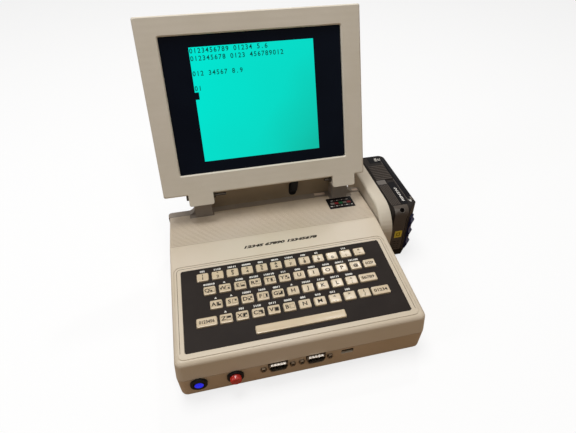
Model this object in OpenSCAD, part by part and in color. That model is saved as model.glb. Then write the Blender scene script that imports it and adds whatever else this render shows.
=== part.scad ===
// Portable home computer: a keyboard case with a folding display lid and a slide-on battery at its right side.
// Frame: X to the user's right, Y to the back, Z up. The origin is the centre of the case's underside.

/* [Case] */
// Width of the case at the seam between tray and cover
case_w = 217; // [213:1:223]
// Depth of the top cover
cover_d = 178; // [176:1:184]
// Depth of the ledge behind the cover
ledge_d = 8; // [7.5:0.5:10]
// Height of the rubber feet
feet_h = 4; // [3:0.5:5]
// Height of the seam above the underside
seam_h = 25; // [24:0.5:27]
// Height of the deck plane above the front face
front_h = 45.2; // [44.6:0.2:47]
// Wall thickness of the moulded case
wall = 2.4; // [2:0.1:2.8]
// Radius of the front corners in plan
corner_r = 6; // [5:0.5:8]
// Radius of the tray's bottom edge
bottom_r = 3.5; // [2.5:0.5:4]
// How far the tray walls lean in towards the floor
tray_draft = 0.6; // [0.4:0.1:1]
// How far the cover's side walls lean in towards the deck
cover_draft = 1.2; // [1:0.1:1.6]
// Radius of the cover's front lip
lip_r = 4.5; // [3.5:0.5:5]
// Radius of the cover's side and rear edges
side_r = 1.5; // [1:0.5:2.5]

/* [Deck] */
// Slope of the keyboard deck, degrees
deck_tilt = 4; // [3.5:0.25:4.5]
// Depth from the front face to the crease of the cover
crease_d = 123.5; // [122:0.5:126]
// Slope of the ribbed rear of the cover, degrees
rear_fall = 4; // [3:0.5:5]
// Spacing of the fine ribs on the rear of the cover
rib_pitch = 2.1; // [1.9:0.1:2.6]
// Width of the groove line round the keyboard
groove_w = 0.8; // [0.6:0.1:1.2]
// Distance from the key panel to the groove line
groove_margin = 5.6; // [4.5:0.2:6]
// Width of the badge plate
badge_w = 29; // [24:1:30]
// Depth of the badge plate
badge_d = 19.5; // [16:0.5:20]

/* [Keyboard] */
// Distance from the case's side to the dark key panel
panel_side = 11.35; // [10.5:0.05:12.5]
// Depth of the dark key panel
panel_d = 83.6; // [82:0.2:84.6]
// Thickness of the key panel
panel_t = 0.6; // [0.5:0.1:0.8]
// Distance from the panel's left edge to the middle of the first number key
first_key_in = 19.6; // [19:0.1:20]
// Distance from the panel's right edge to the middle of the last number key
last_key_in = 23.45; // [23:0.05:24]
// Distance from the panel's rear edge to the middle of the number row
number_row_in = 11.1; // [10.8:0.1:11.6]
// Spacing from one row of keys to the next
row_pitch = 15.8; // [15.4:0.1:16]
// Width of a letter key, as a share of the key spacing
key_share = 0.755; // [0.72:0.005:0.8]
// Depth of a letter key
key_d = 8.6; // [8:0.1:9.4]
// Height of the key tops above the deck
key_rise = 1.3; // [1:0.1:1.8]
// Travel of a key
key_travel = 1.1; // [0.8:0.1:1.2]
// Gap between a key and its hole in the panel
key_gap = 0.3; // [0.2:0.05:0.35]
// Length of the space bar
space_w = 78; // [72:1:82]

/* [Front face] */
// Distance from the case's left side to the blue button
blue_from_left = 17; // [16:0.5:18.5]
// Distance between the blue and the red button
button_spacing = 30; // [28:0.5:32]
// Height of the buttons above the underside
button_h = 17.7; // [14:0.1:17.8]
// Outer diameter of a button's collar
collar_d = 14; // [13.5:0.1:14.5]
// Diameter of a button's cap
cap_d = 9.6; // [8.6:0.1:10]
// Travel of a button
button_travel = 1.6; // [1:0.1:2]
// Distance between the two joystick ports
port_spacing = 32.9; // [32:0.1:34]
// Position of the middle between the two joystick ports
port_mid_x = -8.85; // [-10:0.05:-8.5]
// Height of the joystick ports above the underside
port_h = 19; // [17:0.1:19]
// Distance between the two jack screws of a port
jack_spacing = 25; // [24.8:0.1:25.2]
// Width of the memory card slot
card_w = 11; // [10.8:0.1:12.5]
// Height of the opening in front of the memory card slot
card_gap = 5.6; // [5:0.1:6]
// Position of the memory card slot
card_x = 36; // [34:0.5:38]

/* [Display lid] */
// How much narrower than the case the lid is
lid_less = 6; // [4:0.1:9]
// Thickness of the lid
lid_t = 16; // [15.5:0.5:19]
// Distance from the case's middle to the lid's middle
lid_x = -1.4; // [-2:0.05:-1]
// Lean of the open lid back from upright, degrees
lid_tilt = 20.9; // [18:0.5:24]
// Thickness of the bezel's face
bezel_t = 3; // [2.6:0.1:3.4]
// Thickness of the lid's side walls and back
lid_wall = 2.4; // [2:0.1:2.6]
// Width of the bezel beside the display opening
bezel_side = 19.7; // [18.5:0.1:21]
// Height of the bezel above the display opening
brow_h = 17.4; // [16:0.1:19]
// Height of the bezel below the display opening
chin_h = 20.8; // [20:0.2:22]

/* [Hinge] */
// Height of the hinge axis above the underside
axis_h = 78.9; // [78:0.5:82]
// Distance of the hinge axis in front of the cover's rear edge
axis_in = 8.5; // [8:0.25:9.5]
// Distance of the hinge axis below the bezel's lower edge
axis_drop = 4.2; // [4:0.1:4.6]
// Distance of the hinge axis behind the bezel's face
axis_back = 7; // [6.9:0.1:7.5]
// Length of the hinge tabs below the bezel
tab_h = 9.8; // [9.6:0.1:10.4]
// Thickness of a tab's cheeks
cheek_t = 3; // [2.5:0.1:3.4]
// Radius of the knuckles on the rear posts
knuckle_r = 3.6; // [3:0.1:3.7]
// Diameter of the hinge bolts
bolt_d = 3; // [2.5:0.1:3.2]
// Radial running clearance of the hinge bolts
bolt_play = 0.05; // [0.02:0.01:0.1]
// Gap between a post and the cheeks beside it
cheek_gap = 0.4; // [0.3:0.1:0.6]

/* [Rear block] */
// Distance from the case's sides to the block behind it
block_in = 40; // [38:0.5:42]
// Depth of the block behind the case
block_d = 20; // [16:1:26]
// Height of the block's top above the underside
block_h = 74; // [72:0.5:75]
// Position of the block's middle
block_x = 5.5; // [4.5:0.5:6]
// Width of the display cable
cable_w = 8; // [6:0.5:9]
// Thickness of the display cable
cable_t = 2; // [1.6:0.1:2.4]
// Position of the display cable
cable_x = 30; // [20:1:34]

/* [Battery dock] */
// Thickness of the dock beside the case
dock_t = 13.5; // [12:0.5:16]
// Length of the dock
dock_l = 106.5; // [104:0.5:112]
// Height of the dock's top above the underside
dock_h = 64.5; // [62:0.5:66]
// Radius of the dock's round front end
nose_r = 28; // [22:1:30]
// Radius along the dock's inner edges
dock_edge_r = 2.5; // [1.5:0.5:4]
// Distance from the case's front face to the dock
dock_from_front = 112.5; // [111:0.5:116]
// Width across the head of the dock's rail
rail_w = 24; // [22:0.5:26]
// Width across the neck of the dock's rail
rail_neck = 16; // [14:0.5:17]
// Gap between the rail and the battery's channel
rail_gap = 0.4; // [0.3:0.05:0.6]

/* [Battery] */
// Length of the battery
pack_l = 105; // [104.5:0.5:108]
// Thickness of the battery
pack_t = 29.5; // [29:0.5:33]
// Height of the battery
pack_h = 68; // [67.9:0.1:70]
// Gap between the dock and the battery
pack_gap = 0.7; // [0.5:0.1:1]
// Diameter of a battery cell
cell_d = 18; // [17.5:0.1:18.1]
// Length of a battery cell
cell_l = 65; // [63:0.5:65]
// Travel of the battery's release button
release_travel = 2; // [1.5:0.1:2.2]

/* [Hidden] */
$fn = 48;
skin = 0.2; // thickness of the thin plates that a hull is stretched over
fit = 0.2; // clearance between pieces that are laid in or screwed on
case_d = cover_d + ledge_d;
front_y = -case_d / 2;
back_y = case_d / 2;
cover_back_y = front_y + cover_d;
cover_mid_y = front_y + cover_d / 2;
crease_y = front_y + crease_d;
crease_z = front_h + crease_d * tan(deck_tilt);
cover_back_z = crease_z - (cover_d - crease_d) * tan(rear_fall);
front_draft = 1; // lean of the cover's front wall
tray_step = 0.6; // how far the tray's wall stands behind the cover's
tray_in = wall + tray_draft + tray_step; // from the seam's outline to the tray's inner wall
tray_corner_r = corner_r - tray_in + 0.8; // radius of the tray's inner corners in plan
cover_in = wall + cover_draft;
ledge_z = cover_back_z - 0.5;

// Key panel, in the frame of the deck: x from the case's middle, s up the slope from the front face
panel_w = case_w - 2 * panel_side;
key_pitch = (panel_w - first_key_in - last_key_in) / 11;
key_w = key_share * key_pitch;
panel_x = -0.95;
panel_s = 10.6;
panel_mid_s = panel_s + panel_d / 2;
recess_h = panel_t + fit;
panel_ledge = 4; // width of the ledge that carries the panel
rim_t = 2; // wall round the key well
stagger = [0, 0.36, 0.68, 1.18]; // shift of each row, in key pitches
first_key_x = panel_x - panel_w / 2 + first_key_in;
number_row_s = panel_s + panel_d - number_row_in;
space_row = 4.03;
space_x = first_key_x + 5.67 * key_pitch;
letters = "QWERTYUIOPASDFGHJKLZXCVBNM";
row_starts = [0, 10, 19]; // index of the first letter of each letter row
// Place across in key pitches, row and width in key pitches of the keys with words on them
command_key_list = [[-0.01, 3, 1.24], [11.31, 3, 1.2], [10.84, 2, 1.2], [11.36, 1, 0.83]];
// Row and column of the number keys and signs
sign_key_list = concat([for (i = [0:11]) [0, i]], [[1, 10], [2, 9], [3, 7], [3, 8], [3, 9]]);
flange_t = 0.9;
flange_out = 0.7; // how far a key's flange reaches beyond its cap
flange_top = -recess_h - fit;
stem_l = 2.4;
key_bevel = 0.5; // bevel round the top of a key
sheet_top = flange_top - flange_t - stem_l - key_travel - fit;
sheet_t = 1.2;
well_w = panel_w - 2 * panel_ledge;
well_d = panel_d - 2 * panel_ledge;

// Front face
blue_x = blue_from_left - case_w / 2;
red_x = blue_x + button_spacing;
collar_t = 2.4;
collar_seat = 0.6; // depth of the flat seat for a collar in the leaning wall
barrel_d = collar_d - 1.7;
blue_rise = 0.6; // how far each button's cap stands out of its collar
red_rise = 4.2;
cap_play = 0.06;
barrel_l = tray_in + 3;
stop_t = 1; // thickness of the flange that keeps a button in its collar
switch_y = front_y + collar_seat + barrel_l + stop_t + button_travel + fit;
port_xs = [port_mid_x - port_spacing / 2, port_mid_x + port_spacing / 2];
shell_w = 16.9; // outer size of a nine-pin port's shell
shell_h = 8.4;
shell_out = 2.2; // how far a port's shell stands out of the front face
jack_out = 2; // how far a jack screw stands out of the front face
shell_t = 0.5;
flange_w = 30.8;
flange_h = 12.5;
insert_in = 5; // from a shell's front edge back to the face its pins stand on
pin_pitch = 2.77;
pin_rows = 2.84;
card_z = 19.7;
card_slot_t = 2.2; // height of the slot in the memory card socket
front_screw_x = [red_x + 14, case_w / 2 - 48.5];
side_screw_in = 12;
screw_seat_z = 10; // where the heads of the case screws sit in their tubes

// Lid, in its own frame: y up the face from the bezel's lower edge, z out of the face
lid_w = case_w - lid_less;
view_w = lid_w - 2 * bezel_side;
view_h = view_w * 3 / 4;
lid_h = chin_h + view_h + brow_h;
axis_y = cover_back_y - axis_in;
lid_origin_y = axis_y + axis_drop * sin(lid_tilt) - axis_back * cos(lid_tilt);
lid_origin_z = axis_h + axis_drop * cos(lid_tilt) + axis_back * sin(lid_tilt);
lid_corner_r = 1.9;
bezel_depth = 9; // from the bezel's face to the joint with the back
view_x = lid_x - 0.1;
view_mid_h = chin_h + view_h / 2;
pocket_h = 8; // height of the pockets over the hinge posts
lid_left = lid_x - lid_w / 2;
lid_right = lid_x + lid_w / 2;
tabs = [[lid_left + 23.9, lid_left + 48.9], [lid_right - 35, lid_right - 10.7]]; // ends of each hinge tab
panel_module_w = view_w + 18;
panel_module_h = view_h + 13.5;
glass_margin = 2; // how far the glass reaches behind the bezel
glass_t = 1.2;
glass_top = -bezel_t - 0.1;
module_bottom = -9.4;
lid_screw_in = 7;
lid_screws_at = [
    for (sx = [-1, 1], top = [0, 1])
        [lid_x + sx * (lid_w / 2 - lid_screw_in), top ? lid_h - lid_screw_in : lid_screw_in]
];
neck_low = 2.2; // from the axis down to the underside of a post's neck
shoulder_drop = tab_h + 1.5; // from the axis down to a post's shoulder
notch_depth = 6.6;
pad_t = 3; // thickness of the ledge's pads in the notches
notch_front_y = cover_back_y - notch_depth;
// Ends of each notch
notches = [[22.5 - case_w / 2, 48.5 - case_w / 2], [case_w / 2 - 38.9, case_w / 2 - 12.3]];

// Rear block
block_w = case_w - 2 * block_in;
slot_w = cable_w + 0.6;
slot_h = 18;
slot_mid_z = ledge_z + 11;

// Boards
board_t = 1.6;
board_z = wall + 5.6;
board_gap = 5; // between the two boards
power_board_d = 42;
power_board_x = [blue_x - 11.5, red_x + 16.5];
power_board_w = power_board_x[1] - power_board_x[0];
power_board_y = [front_y + 16, front_y + 16 + power_board_d];
main_board_x = case_w / 2 - 18; // half the main board's width
main_board_y = [power_board_y[1] + board_gap, back_y - 17];
stud_in = 5; // from a board's edges to the studs under it
// Place across, height and outer diameter of each rear socket
rear_socket_list = [
    [17 - case_w / 2, 14, 11], [34 - case_w / 2, 13, 17], [case_w / 2 - 25.2, 13, 17], [case_w / 2 - 11, 14, 9]
];

// Dock and battery
case_gap = 0.3;
dock_x = case_w / 2 + case_gap;
dock_face_x = dock_x + dock_t;
dock_y = front_y + dock_from_front;
rail_z = 31;
neck_t = 3.6;
head_t = 4;
terminal_l = 6.5;
blade_l = 8.5;
rail_y = dock_y + 26.5;
rail_l = dock_l - 28.5;
pack_x = dock_face_x + pack_gap;
pack_y = dock_y + 5.5;
pack_z = -3;
channel_y = rail_y - terminal_l - rail_gap;
cell_count = 5;
cell_pitch = cell_d + 0.2;
cell_wall = 1.2;
cell_mid_x = pack_x + pack_t - cell_wall - 0.9 - cell_d / 2;
cell_row = cell_pitch * (cell_count - 1); // from the first cell's axis to the last one's
cell_first_y = pack_y + pack_l - cell_wall - cell_d / 2 - cell_row;
pack_edge = 1.2; // bevel round the battery's top and bottom
pack_brow_r = 8; // radius of the battery's front top edge
field_y = [pack_y + 54, pack_y + 83.4]; // front and rear end of the raised field on the top
pack_cut = 11; // bevel at the battery's outer front corner, which carries the release button
release_w = 8.5; // width of the release button, along the bevel
release_shift = 1.5; // from the middle of the bevel to the middle of the button, outwards
release_z = [4, 49]; // lower and upper edge of the release button
release_t = 2; // thickness of the release button in its wall
release_proud = 1.75; // how far the button's face stands out of the bevel
release_flange_t = 1; // thickness of the flange that keeps the button in
fin_out = 1.75; // how far the three fins stand out of the button's face
fin_tops = [11.6, 27.4, 42.9]; // heights of the fins' tips

function letter_row(i) = i < row_starts[1] ? 0 : i < row_starts[2] ? 1 : 2;
function key_x(row, column) = first_key_x + (stagger[row] + column) * key_pitch;
function key_s(row) = number_row_s - row * row_pitch;
function arc(centre, r, from, to, n) = [
    for (i = [0:n])
        let (a = from + (to - from) * i / n)
            [centre[0] + r * cos(a), centre[1] + r * sin(a)]
];
function round_outline(w, d, r, r_back, n) = concat(
    arc([w / 2 - r_back, d / 2 - r_back], r_back, 0, 90, n),
    arc([r_back - w / 2, d / 2 - r_back], r_back, 90, 180, n),
    arc([r - w / 2, r - d / 2], r, 180, 270, n),
    arc([w / 2 - r, r - d / 2], r, 270, 360, n)
);
// Outer side of the tray at a height, where its wall leans in
function tray_side_x(z) =
    case_w / 2 - tray_draft * (seam_h - skin - z) / (seam_h - skin - bottom_r);

letter_nodes = [for (i = [0:len(letters) - 1]) str("key_", chr(ord(letters[i]) + 32))];

// ---------- shared shapes ----------

// Flat plate with round corners, centred in X and Y, from z = 0 up
module plate(w, d, h, r, r_back = undef, n = 6) {
    linear_extrude(h) polygon(round_outline(w, d, r, is_undef(r_back) ? r : r_back, n));
}

// Ring of the outline radius r with a round section of radius e, for the corners of a hull
module edge_ring(r, e) {
    rotate_extrude($fn = 32) intersection() {
        translate([r - e, 0]) circle(e, $fn = 24);
        translate([0, -e]) square([r, 2 * e]);
    }
}

// A profile drawn in Y and Z, extruded along X from x1 to x2
module along_x(x1, x2) {
    translate([x1, 0, 0]) rotate([90, 0, 90]) linear_extrude(x2 - x1) children();
}

// A profile drawn in X and Z, extruded along Y from y1 to y2
module along_y(y1, y2) {
    translate([0, y2, 0]) rotate([90, 0, 0]) linear_extrude(y2 - y1) children();
}

module on_deck(x = 0, s = 0, h = 0) {
    translate([0, front_y, front_h]) rotate([deck_tilt, 0, 0]) translate([x, s, h]) children();
}

module on_rear_slope(x = 0, s = 0, h = 0) {
    translate([0, crease_y, crease_z]) rotate([-rear_fall, 0, 0]) translate([x, s, h]) children();
}

module on_lid(x = 0, y = 0, z = 0) {
    translate([0, lid_origin_y, lid_origin_z]) rotate([90 - lid_tilt, 0, 0])
        translate([x, y, z]) children();
}

module box(low, high) {
    translate(low) cube(high - low);
}

// Centres of the four screws that hold tray and cover together
module at_case_screws() {
    for (x = front_screw_x) translate([x, front_y + 9, 0]) children();
    for (side = [-1, 1]) translate([side * (case_w / 2 - side_screw_in), cover_back_y - 30, 0]) children();
}

// Places of the two screws that hold the dock to the tray's right wall, pointing to +X
module at_dock_screws() {
    for (y = [dock_y + 16, dock_y + 56]) translate([case_w / 2, y, 13]) rotate([0, 90, 0]) children();
}

// ---------- case ----------

module tray_form() {
    hull() {
        translate([0, 0, seam_h - skin]) plate(case_w, case_d, skin, corner_r, side_r + 2);
        for (sx = [-1, 1], sy = [-1, 1])
            translate([
                sx * (case_w / 2 - tray_draft - corner_r),
                sy * (case_d / 2 - tray_draft - corner_r),
                bottom_r
            ]) edge_ring(corner_r, bottom_r);
    }
}

module front_openings() {
    for (x = [blue_x, red_x])
        translate([x, front_y - 1, button_h]) rotate([-90, 0, 0]) {
            cylinder(d = barrel_d + fit, h = tray_in + 2);
            cylinder(d = collar_d + fit, h = 1 + collar_seat);
        }
    for (x = port_xs) {
        // The opening for a port is open up to the seam
        box(
            [x - shell_w / 2 - fit, front_y - 1, port_h],
            [x + shell_w / 2 + fit, front_y + tray_in + 1, seam_h + 1]
        );
        translate([x, front_y - 1, port_h]) rotate([-90, 0, 0]) {
            linear_extrude(tray_in + 2) port_outline(fit);
            for (side = [-1, 1])
                translate([side * jack_spacing / 2, 0, 0]) cylinder(d = 3.4, h = tray_in + 2);
        }
    }
    box(
        [card_x - card_w / 2, front_y - 1, card_z - card_gap / 2],
        [card_x + card_w / 2, front_y + tray_in + 1, card_z + card_gap / 2]
    );
}

module rear_openings() {
    for (socket = rear_socket_list)
        translate([socket[0], back_y + 1, socket[1]]) rotate([90, 0, 0])
            cylinder(d = socket[2] + fit, h = tray_in + 2);
}

module base_tray() {
    tube_d = 8;
    shelf_t = 2;
    color("burlywood") difference() {
        union() {
            difference() {
                tray_form();
                translate([0, 0, wall])
                    plate(case_w - 2 * tray_in, case_d - 2 * tray_in, seam_h, tray_corner_r);
            }
            at_case_screws() translate([0, 0, wall / 2]) cylinder(d = tube_d, h = seam_h - wall / 2);
            // Shelf under the memory card socket
            for (x = [card_x - 9, card_x + 7])
                box([x, front_y + tray_in - 0.5, wall - 0.5], [x + shelf_t, front_y + 22, card_z - 3.4]);
            // Studs under the boards
            for (side = [-1, 1], y = [main_board_y[0] + stud_in, main_board_y[1] - stud_in])
                translate([side * (main_board_x - stud_in), y, wall - 0.5])
                    cylinder(d = 6, h = board_z - wall + 0.48);
            for (x = [power_board_x[0] + stud_in, power_board_x[1] - stud_in],
                    y = [power_board_y[0] + stud_in, power_board_y[1] - stud_in])
                translate([x, y, wall - 0.5]) cylinder(d = 6, h = board_z - wall + 0.48);
        }
        // Shadow line along the seam
        translate([0, 0, seam_h - 0.5]) difference() {
            plate(case_w + 4, case_d + 4, 1, corner_r);
            translate([0, 0, -1]) plate(case_w - 1.2, case_d - 1.2, 3, corner_r - 0.6, side_r + 1.4);
        }
        front_openings();
        rear_openings();
        at_case_screws() {
            translate([0, 0, -1]) cylinder(d = 3.4, h = seam_h + 2);
            translate([0, 0, -1]) cylinder(d = 6.4, h = screw_seat_z + 1);
        }
        at_dock_screws() translate([0, 0, -tray_in - 3]) cylinder(d = 3.4, h = tray_in + 4);
    }
}

module cover_form() {
    slope_l = (cover_d - crease_d) / cos(rear_fall);
    edge_x = case_w / 2 - cover_draft;
    hull() {
        translate([0, cover_mid_y, seam_h]) plate(case_w, cover_d, skin, corner_r, side_r);
        for (side = [-1, 1]) {
            on_deck(side * (edge_x - corner_r), front_draft + corner_r, -lip_r)
                edge_ring(corner_r, lip_r);
            translate([side * (edge_x - side_r), crease_y, crease_z - side_r]) sphere(side_r, $fn = 24);
            on_rear_slope(side * (edge_x - side_r), slope_l - side_r, -side_r) sphere(side_r, $fn = 24);
        }
    }
}

module cover_cavity() {
    drop = wall / cos(deck_tilt);
    intersection() {
        translate([0, cover_mid_y, seam_h - 1])
            plate(case_w - 2 * cover_in, cover_d - 2 * (wall + front_draft), crease_z, corner_r - wall, side_r);
        along_x(-case_w / 2, case_w / 2) polygon([
            [front_y, seam_h - 2], [front_y, front_h - drop], [crease_y, crease_z - drop],
            [cover_back_y, cover_back_z - drop], [cover_back_y, seam_h - 2]
        ]);
    }
}

module key_well(extra, low, high) {
    on_deck(panel_x, panel_mid_s, low)
        plate(well_w + 2 * extra, well_d + 2 * extra, high - low, 3 + extra);
}

module deck_groove() {
    outer_w = panel_w + 2 * (groove_margin + groove_w);
    outer_d = panel_d + 2 * groove_margin;
    on_deck(panel_x, panel_mid_s, -0.5) difference() {
        plate(outer_w, outer_d, 2, 6);
        translate([0, 0, -1]) plate(outer_w - 2 * groove_w, outer_d - 2 * groove_w, 4, 6 - groove_w);
    }
}

module rear_ribs() {
    first = 3;
    depth = 0.4;
    rib_count = floor((cover_d - crease_d - first - 3) / rib_pitch);
    for (i = [0:rib_count])
        on_rear_slope(-case_w / 2, first + i * rib_pitch, -depth) cube([case_w, rib_pitch / 2, 2]);
}

module badge_place(extra) {
    right = notches[1][1] - 2.5;
    on_rear_slope(
        right - badge_w / 2, (cover_d - crease_d - notch_depth - 1 - badge_d / 2) / cos(rear_fall), -0.7
    ) plate(badge_w + 2 * extra, badge_d + 2 * extra, 1, 1, n = 3);
}

module top_cover() {
    color("blanchedalmond") difference() {
        union() {
            difference() {
                cover_form();
                cover_cavity();
            }
            key_well(rim_t, sheet_top, -wall / 2);
            intersection() {
                cover_form();
                at_case_screws() translate([0, 0, seam_h]) cylinder(d = 6.4, h = crease_z);
            }
        }
        on_deck(panel_x, panel_mid_s, -recess_h) plate(panel_w + 2 * fit, panel_d + 2 * fit, 9, 2);
        key_well(0, sheet_top - 20, 1);
        deck_groove();
        rear_ribs();
        badge_place(fit);
        for (notch = notches)
            box([notch[0], notch_front_y, ledge_z - pad_t - fit], [notch[1], cover_back_y + 1, crease_z]);
        at_case_screws() translate([0, 0, seam_h - 1]) cylinder(d = 2.6, h = 13);
    }
}

// One hinge post: foot, sloping front, neck and knuckle, in the plane of its profile
module post_profile() {
    post_front_y = notch_front_y + 1;
    shoulder_z = axis_h - shoulder_drop;
    difference() {
        union() {
            polygon([
                [post_front_y, ledge_z - 2], [post_front_y + 1, shoulder_z],
                [axis_y + 11, shoulder_z + 3], [axis_y + 11.4, axis_h - neck_low],
                [axis_y, axis_h - neck_low], [axis_y, axis_h + knuckle_r - 0.3],
                [back_y - 0.5, axis_h + knuckle_r - 0.3], [back_y, ledge_z - 2]
            ]);
            translate([axis_y, axis_h]) circle(knuckle_r);
        }
        translate([axis_y, axis_h]) circle(bolt_d / 2 + bolt_play);
    }
}

// Concave foot of radius r that widens a post towards the ledge, on its outer side
module post_gusset(x, side, r) {
    along_y(cover_back_y + fit, back_y) difference() {
        translate([side > 0 ? x : x - r, ledge_z - 1]) square([r, r + 1]);
        translate([x + side * r, ledge_z + r]) circle(r);
    }
}

module rear_ledge() {
    color("dimgray") difference() {
        union() {
            // Hollow bar behind the cover
            difference() {
                intersection() {
                    translate([0, 0, seam_h]) plate(case_w, case_d, ledge_z - seam_h, corner_r, side_r + 2);
                    box([-case_w, cover_back_y + fit, seam_h], [case_w, case_d, ledge_z]);
                }
                box(
                    [wall - case_w / 2, cover_back_y, seam_h - 1],
                    [case_w / 2 - wall, back_y - wall, ledge_z - wall]
                );
            }
            for (i = [0, 1]) {
                // Pad that fills the notch in the cover
                box(
                    [notches[i][0] + fit, notch_front_y + fit, ledge_z - pad_t],
                    [notches[i][1] - fit, cover_back_y + 1, ledge_z]
                );
                inner = cheek_t + cheek_gap;
                along_x(tabs[i][0] + inner, tabs[i][1] - inner) post_profile();
            }
            post_gusset(tabs[0][0] + cheek_t + cheek_gap, -1, 8);
            post_gusset(tabs[1][1] - cheek_t - cheek_gap, 1, 14);
        }
    }
}

module rear_block() {
    block_r = 3;
    color("tan") difference() {
        translate([block_x, back_y + block_d / 2, 0]) plate(block_w, block_d, block_h, 1, block_r);
        translate([block_x, back_y + block_d / 2, wall])
            plate(block_w - 2 * wall, block_d - 2 * wall, block_h - 2 * wall, 1, block_r - 1);
        along_y(back_y - 1, back_y + wall + 1) cable_slot(fit / 2);
    }
}

module cable_slot(extra) {
    r = slot_w / 2 + extra;
    for (z = [slot_mid_z - slot_h / 2 + slot_w / 2, slot_mid_z + slot_h / 2 - slot_w / 2])
        translate([cable_x, z]) circle(r);
    translate([cable_x - r, slot_mid_z - slot_h / 2 + slot_w / 2]) square([2 * r, slot_h - slot_w]);
}

module badge_plate() {
    color("black") intersection() {
        badge_place(0);
        on_rear_slope(0, 0, -0.7) translate([-case_w / 2, 0, 0]) cube([case_w, cover_d, 0.8]);
    }
}

module rubber_feet() {
    color("black") for (sx = [-1, 1], sy = [-1, 1])
        translate([sx * (case_w / 2 - 20), sy * (case_d / 2 - 20), -feet_h]) {
            cylinder(r1 = 5.4, r2 = 6, h = 1);
            translate([0, 0, 1]) cylinder(r = 6, h = feet_h - 1);
        }
}

module pan_screw(d, head_d, head_h, l) {
    // Head from z = 0 down, shank upwards, with a cross recess
    difference() {
        union() {
            translate([0, 0, -head_h]) cylinder(d = head_d, h = head_h);
            cylinder(d = d, h = l);
        }
        for (a = [0, 90]) rotate([0, 0, a]) translate([-1.5, -0.3, -head_h - 1]) cube([3, 0.6, 2]);
    }
}

module case_screws() {
    color("silver") {
        at_case_screws() translate([0, 0, screw_seat_z]) pan_screw(2.5, 5.6, 2, seam_h - screw_seat_z + 11);
        at_dock_screws() translate([0, 0, -tray_in - fit]) pan_screw(2.5, 5.6, 2, tray_in + 8);
    }
}

// ---------- front face ----------

// D-shaped outline of a nine-pin port, drawn with its wide side up and grown by extra
module port_outline(extra) {
    w = shell_w / 2 + extra;
    h = shell_h / 2 + extra;
    r = 2.2;
    lean = 1.4;
    polygon(concat(
        arc([w - r, r - h], r, -90, 10, 4), arc([w - r - lean, h - r], r, 10, 90, 4),
        arc([r + lean - w, h - r], r, 90, 170, 4), arc([r - w, r - h], r, 170, 270, 4)
    ));
}

module joystick_port_shells() {
    wall_y = front_y + tray_in;
    color("silver") for (x = port_xs)
        translate([x, 0, port_h]) rotate([-90, 0, 0]) {
            translate([0, 0, front_y - shell_out]) linear_extrude(shell_out + tray_in + 0.5) difference() {
                port_outline(0);
                port_outline(-shell_t);
            }
            // Flange behind the wall
            translate([0, 0, wall_y]) linear_extrude(shell_t) difference() {
                square([flange_w, flange_h], center = true);
                port_outline(-shell_t);
                for (side = [-1, 1]) translate([side * jack_spacing / 2, 0]) circle(d = 3.6);
            }
            // Hexagonal jack screws, with their threaded hole
            for (side = [-1, 1]) translate([side * jack_spacing / 2, 0, front_y - jack_out]) difference() {
                union() {
                    cylinder(d = 5.4, h = jack_out - 0.05, $fn = 6);
                    cylinder(d = 3, h = tray_in + jack_out + 4.4);
                }
                translate([0, 0, -1]) cylinder(d = 2.84, h = 4.4);
            }
        }
}

module joystick_port_inserts() {
    color("black") for (x = port_xs)
        translate([x, 0, port_h]) rotate([-90, 0, 0]) {
            translate([0, 0, front_y - shell_out + insert_in])
                linear_extrude(tray_in + shell_out - insert_in + 6.8) port_outline(-shell_t - 0.05);
            translate([0, 0, front_y + tray_in + shell_t + 0.1]) linear_extrude(5)
                square([shell_w + 2, shell_h + 1.6], center = true);
            for (row = [0, 1], i = [0:4 - row])
                translate([(i - 2 + row / 2) * pin_pitch, (row - 0.5) * pin_rows, front_y - shell_out + 0.8])
                    cylinder(d = 1, h = insert_in);
        }
}

module button_collars() {
    color("black") for (x = [blue_x, red_x])
        translate([x, front_y + collar_seat, button_h]) rotate([-90, 0, 0]) difference() {
            union() {
                translate([0, 0, -collar_t]) cylinder(d = collar_d, h = collar_t - 0.05);
                translate([0, 0, -0.1]) cylinder(d = barrel_d, h = barrel_l);
                // Nut behind the wall
                translate([0, 0, tray_in]) rotate(30) cylinder(d = collar_d + 2, h = 2, $fn = 6);
            }
            translate([0, 0, -collar_t - 1]) cylinder(r = cap_d / 2 + cap_play, h = barrel_l + 5);
        }
}

// Push button with a cap that stands out of its collar by rise, and a flange that keeps it in
module push_button(x, rise) {
    translate([x, front_y + collar_seat, button_h]) rotate([-90, 0, 0]) {
        translate([0, 0, -collar_t - rise]) cylinder(r1 = cap_d / 2 - 0.5, r2 = cap_d / 2, h = 0.5);
        translate([0, 0, 0.5 - collar_t - rise]) cylinder(d = cap_d, h = barrel_l + collar_t + rise - 0.2);
        translate([0, 0, barrel_l + 0.1]) cylinder(d = cap_d + 1.4, h = stop_t);
    }
}

module blue_button() {
    color("blue") push_button(blue_x, blue_rise);
}

module red_button() {
    color("firebrick") push_button(red_x, red_rise);
}

module memory_card_socket() {
    z = card_z - 3.3;
    color("silver") {
        box([card_x - 9.5, front_y + tray_in + fit, z], [card_x + 9.5, front_y + 24, z + 1.4]);
        difference() {
            box([card_x - 7.2, front_y + tray_in + fit, z + 1.4], [card_x + 7.2, front_y + 20, card_z + 1.8]);
            box(
                [card_x - card_w / 2, front_y, card_z - card_slot_t / 2],
                [card_x + card_w / 2, front_y + 18.5, card_z + card_slot_t / 2]
            );
        }
    }
}

// ---------- boards ----------

// A chip: a low block on the board, by its corner and size
module chip(corner, size) {
    translate([corner[0], corner[1], board_z + board_t]) cube(size);
}

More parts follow.
